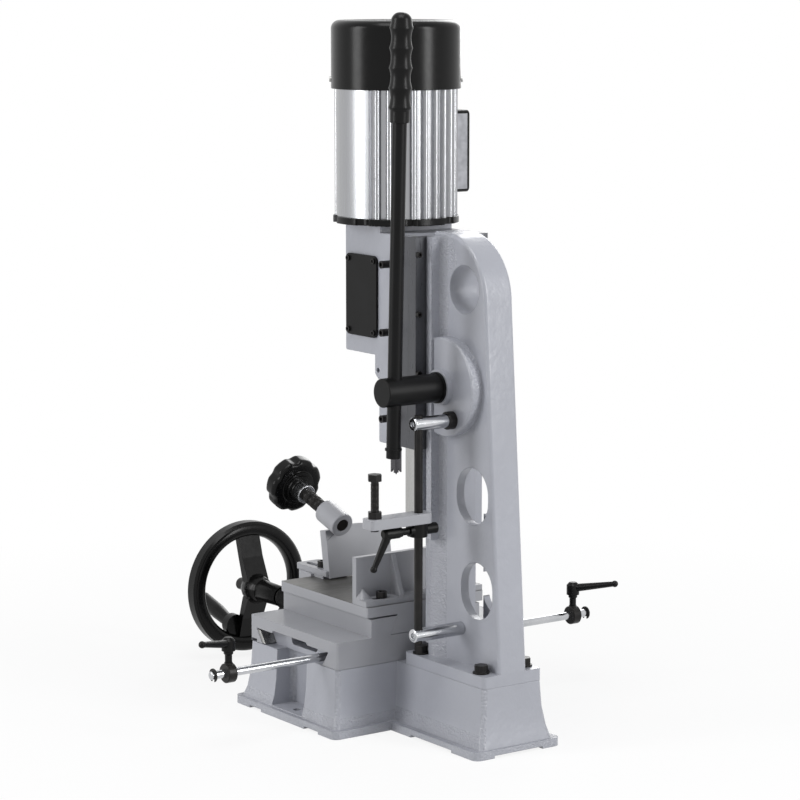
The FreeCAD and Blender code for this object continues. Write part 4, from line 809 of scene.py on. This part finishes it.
class MORTISER_OT_depth_stop(bpy.types.Operator):
    """Depth stop: studs, guide rod, collar, arm's bolt and nut."""

    bl_idname = "mortiser.depth_stop"
    bl_label = "Depth stop"

    def execute(self, context):
        sizes = context.scene.mortiser
        dress("upper_stud", "chrome", sizes.fine_edge)
        dress("lower_stud", "chrome", sizes.fine_edge)
        dress("stud_nut", "oxide", sizes.fine_edge)
        dress("guide_rod", "oxide", sizes.fine_edge)
        dress("depth_collar", "lever", sizes.fine_edge * 2)
        dress("depth_lever", "lever", sizes.fine_edge)
        dress("depth_nut", "oxide", sizes.fine_edge)
        dress("depth_bolt", "oxide", sizes.fine_edge)
        ridge = thread("bolt thread", radius=0.0043, pitch=sizes.bolt_pitch, count=37.0)
        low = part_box("depth_bolt")[0]
        ridge.transform(Matrix.Translation((*STOP_BOLT, low.z)))
        settle(ridge, "bolt_thread", "oxide", body_of("depth_bolt"))
        return {"FINISHED"}


class MORTISER_OT_stops(bpy.types.Operator):
    """Stop rods, rings, collars and clamp levers."""

    bl_idname = "mortiser.stops"
    bl_label = "Side stops"

    def execute(self, context):
        fine = context.scene.mortiser.fine_edge
        dress("stop_rods", "chrome", fine)
        dress("rod_rings", "oxide")
        for side in ("right", "left"):
            dress("stop_collar_" + side, "oxide", fine)
            dress("stop_lever_" + side, "lever", fine)
        return {"FINISHED"}


class MORTISER_OT_cross_feed(bpy.types.Operator):
    """Gib, racks, handwheel, shaft and bolts of the base."""

    bl_idname = "mortiser.cross_feed"
    bl_label = "Cross feed"

    def execute(self, context):
        fine = context.scene.mortiser.fine_edge
        dress("cross_gib", "steel", fine)
        dress("cross_gib_screws", "copper", fine)
        dress("feed_rack", "steel")
        dress("feed_shaft", "oxide", fine)
        dress("handwheel", "gloss", 0.0015)
        rim = turned(self.rim_profile(), 120)
        rim.transform(turn_to((0, 1, 0), WHEEL_CENTRE))
        settle(rim, "wheel_rim", "gloss", body_of("handwheel"), sharp=60)
        dress("wheel_grip", "plastic", fine)
        dress("column_bolts", "oxide", fine * 1.5)
        return {"FINISHED"}

    def rim_profile(self):
        """Section of the wheel's rim: a full round of 20 by 23 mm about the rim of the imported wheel."""
        middle, half_wide, half_deep = 0.0762, 0.0098, 0.0115
        fullness = 0.8
        points = []
        for k in range(25):
            a = 2 * math.pi * (k % 24) / 24
            points.append((middle + half_wide * math.copysign(abs(math.cos(a)) ** fullness, math.cos(a)),
                           half_deep * math.copysign(abs(math.sin(a)) ** fullness, math.sin(a))))
        return points


class MORTISER_OT_clamp(bpy.types.Operator):
    """Work clamp: threaded screw, knob, pad and the table's screws."""

    bl_idname = "mortiser.clamp"
    bl_label = "Work clamp"

    def execute(self, context):
        sizes = context.scene.mortiser
        knob_out, thread_out = 0.127, 0.097
        dress("clamp_screw", "oxide", sizes.fine_edge, [("chrome", self.is_collar), ("chrome", self.is_collar_end)])
        self.knurl()
        # The pad is black oxide steel, drawn dark also as painted shade of the screw's recessed end
        dress("pressure_pad", "oxide", sizes.fine_edge)
        knob = turned(self.knob_profile(), 140)
        self.press_grips(knob)
        knob.transform(turn_to(CLAMP_WAY, CLAMP_MOUTH - CLAMP_WAY * knob_out))
        settle(knob, "star_knob_finished", "gloss", body_of("star_knob"), ("star_knob",), sharp=40)
        dress("table_screws", "oxide", sizes.fine_edge)
        ridge = thread("clamp thread", radius=0.0077, pitch=sizes.clamp_pitch, count=46.0)
        ridge.transform(turn_to(CLAMP_WAY, CLAMP_MOUTH - CLAMP_WAY * thread_out))
        settle(ridge, "clamp_thread", "oxide", body_of("clamp_screw"))
        return {"FINISHED"}

    def is_collar(self, centre, normal):
        """True on the clamp screw's collar, which stands out past the thread."""
        return ((centre - CLAMP_MOUTH).cross(CLAMP_WAY)).length > 0.0085

    def is_collar_end(self, centre, normal):
        """True on the collar's inner end face, 84 mm out from the mouth."""
        return abs((CLAMP_MOUTH - centre).dot(CLAMP_WAY) - 0.084) < 0.001

    def knurl(self):
        """Straight knurl round the collar: small three-sided bars along its length."""
        half_wide, tall = 0.00035, 0.0004
        root_r, collar_out = 0.01195, 0.0975
        bar = extruded("bar", [(0, -half_wide), (tall, 0), (0, half_wide)], 0.0005, 0.0125)
        bar.transform(Matrix.Translation((root_r, 0, 0)))
        knurl = ring_of("Knurl", bar, "chrome", 52, AT_OWN_RADIUS)
        knurl.transform(turn_to(CLAMP_WAY, CLAMP_MOUTH - CLAMP_WAY * collar_out))
        settle(knurl, "collar_knurl", "chrome", body_of("clamp_screw"))

    def knob_profile(self):
        """Outline of the knob from its dished outer face round the rim to the stepped hub."""
        face_r, bend = 0.0295, 0.0065
        front, rear = bend, 0.0155
        points = [(0.0, 0.006), (0.01, 0.0053), (0.02, 0.0031), (0.0275, 0.0005), (face_r, 0.0)]
        for k in range(1, 9):
            a = math.pi / 2 * k / 8
            points.append((face_r + bend * math.sin(a), front - bend * math.cos(a)))
        for k in range(9):
            a = math.pi / 2 * k / 8
            points.append((face_r + bend * math.cos(a), rear + bend * math.sin(a)))
        points += [(0.0225, 0.022), (0.0218, 0.0226), (0.0215, 0.0245), (0.0178, 0.0248), (0.0172, 0.0272),
                   (0.0134, 0.0276), (0.0128, 0.0295), (0.0, 0.0295)]
        return points

    def press_grips(self, knob):
        """Seven shallow grips pressed into the rim of the knob; they fade out toward its middle."""
        count, depth = 7, 0.085
        fade_start, fade_width = 0.024, 0.012
        for vertex in knob.vertices:
            out = math.hypot(vertex.co.x, vertex.co.y)
            share = min(max((out - fade_start) / fade_width, 0), 1)
            turn = math.cos(count * math.atan2(vertex.co.y, vertex.co.x))
            dent = 1 - depth * share * share * max(turn, 0) ** 1.6
            vertex.co.x *= dent
            vertex.co.y *= dent


class MORTISER_OT_stage(bpy.types.Operator):
    """Floor, lights, backdrop and camera."""

    bl_idname = "mortiser.stage"
    bl_label = "Stage"

    def execute(self, context):
        scene = context.scene
        self.floor(scene)
        self.world(scene)
        self.lamp("Left window", (2.55, -0.75, 1.2), 0.8, 2.0, 40)
        self.lamp("Right window", (-1.1, 2.7, 1.3), 0.7, 2.0, 52)
        self.lamp("Top window", (0.5, 0.6, 2.7), 1.4, 1.4, 30)
        self.lamp("Front window", (-2.2, -1.8, 1.6), 1.2, 2.0, 26)
        camera = bpy.data.objects.new("Camera", bpy.data.cameras.new("Camera"))
        scene.collection.objects.link(camera)
        camera.data.sensor_width = 36.0
        camera.data.lens = 125.55
        camera.location = (1.92043, 2.74235, 0.890)
        heading = Vector((-0.5728, -0.8057, -0.1511))
        camera.rotation_mode = "QUATERNION"
        camera.rotation_quaternion = heading.to_track_quat("-Z", "Y")
        camera.data.clip_end = 50
        scene.camera = camera
        scene.view_settings.view_transform = "Standard"
        return {"FINISHED"}

    def lamp(self, name, place, width, height, power):
        """A soft rectangular light of so many watts, turned to the mortiser's middle."""
        middle = Vector((0.0, 0.08, 0.45))
        data = bpy.data.lights.new(name, "AREA")
        data.shape = "RECTANGLE"
        data.size = width
        data.size_y = height
        data.energy = power
        lamp = bpy.data.objects.new(name, data)
        lamp.location = place
        lamp.rotation_mode = "QUATERNION"
        lamp.rotation_quaternion = (middle - Vector(place)).to_track_quat("-Z", "Y")
        bpy.context.scene.collection.objects.link(lamp)

    def seen_directly(self, tree):
        """1 where the ray comes from the camera, a gloss or a clear surface, else 0."""
        path = add(tree, "ShaderNodeLightPath")
        shiny = add(tree, "ShaderNodeMath", {"operation": "MAXIMUM"}, {0: path.outputs["Is Camera Ray"],
                                                                       1: path.outputs["Is Glossy Ray"]})
        clear = add(tree, "ShaderNodeMath", {"operation": "MAXIMUM"}, {0: shiny.outputs[0],
                                                                       1: path.outputs["Is Transmission Ray"]})
        return clear.outputs[0]

    def world(self, scene):
        """Faint even light from all round, seen as plain white."""
        scene.world = bpy.data.worlds.new("Studio")
        scene.world.use_nodes = True
        tree = scene.world.node_tree
        tree.nodes.clear()
        soft = add(tree, "ShaderNodeBackground", {"Color": tone("E4E6EA"), "Strength": 0.22})
        white = add(tree, "ShaderNodeBackground", {"Color": (1, 1, 1, 1), "Strength": 1.0})
        mixed = add(tree, "ShaderNodeMixShader", None, {0: self.seen_directly(tree), 1: soft.outputs[0],
                                                        2: white.outputs[0]})
        add(tree, "ShaderNodeOutputWorld", None, {0: mixed.outputs[0]})

    def floor(self, scene):
        """Pale paper that keeps the mortiser's shadow near it and fades to the white backdrop."""
        half_width = 150
        mesh = bpy.data.meshes.new("Floor")
        shape = bmesh.new()
        bmesh.ops.create_grid(shape, x_segments=1, y_segments=1, size=half_width)
        shape.to_mesh(mesh)
        shape.free()
        material = bpy.data.materials.new("Pale paper")
        material.use_nodes = True
        tree = material.node_tree
        tree.nodes.clear()
        paper = add(tree, "ShaderNodeBsdfDiffuse", {"Color": tone("F2F2F2")})
        white = add(tree, "ShaderNodeEmission", {"Color": (1, 1, 1, 1), "Strength": 1.0})
        where = add(tree, "ShaderNodeTexCoord")
        far = add(tree, "ShaderNodeVectorMath", {"operation": "LENGTH"}, {0: where.outputs["Object"]})
        fade = add(tree, "ShaderNodeMapRange", {"From Min": 0.3, "From Max": 1.1, "To Min": 0.84, "To Max": 1.0},
                   {"Value": far.outputs["Value"]})
        share = add(tree, "ShaderNodeMath", {"operation": "MULTIPLY"}, {0: self.seen_directly(tree),
                                                                        1: fade.outputs[0]})
        mixed = add(tree, "ShaderNodeMixShader", None, {0: share.outputs[0], 1: paper.outputs[0],
                                                        2: white.outputs[0]})
        add(tree, "ShaderNodeOutputMaterial", None, {0: mixed.outputs[0]})
        mesh.materials.append(material)
        floor = bpy.data.objects.new("Floor", mesh)
        scene.collection.objects.link(floor)


STEPS = [MORTISER_OT_castings, MORTISER_OT_motor, MORTISER_OT_lever, MORTISER_OT_head, MORTISER_OT_depth_stop,
         MORTISER_OT_stops, MORTISER_OT_cross_feed, MORTISER_OT_clamp, MORTISER_OT_stage]


class MORTISER_PT_panel(bpy.types.Panel):
    """Lists the mortiser's steps and sizes."""

    bl_idname = "MORTISER_PT_panel"
    bl_label = "Mortiser"
    bl_space_type = "VIEW_3D"
    bl_region_type = "UI"
    bl_category = "Mortiser"

    def draw(self, context):
        for name in MortiserSettings.__annotations__:
            self.layout.prop(context.scene.mortiser, name)
        for step in STEPS:
            self.layout.operator(step.bl_idname)


CLASSES = [MortiserSettings, *STEPS, MORTISER_PT_panel]


def register():
    """Register the settings, the steps and the panel."""
    for part in CLASSES:
        bpy.utils.register_class(part)
    bpy.types.Scene.mortiser = bpy.props.PointerProperty(type=MortiserSettings)


def unregister():
    """Take them all away again."""
    del bpy.types.Scene.mortiser
    for part in reversed(CLASSES):
        bpy.utils.unregister_class(part)


def main():
    """Register the parts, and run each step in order."""
    register()
    for step in STEPS:
        group, action = step.bl_idname.split(".")
        getattr(getattr(bpy.ops, group), action)()


if __name__ == "__main__":
    main()
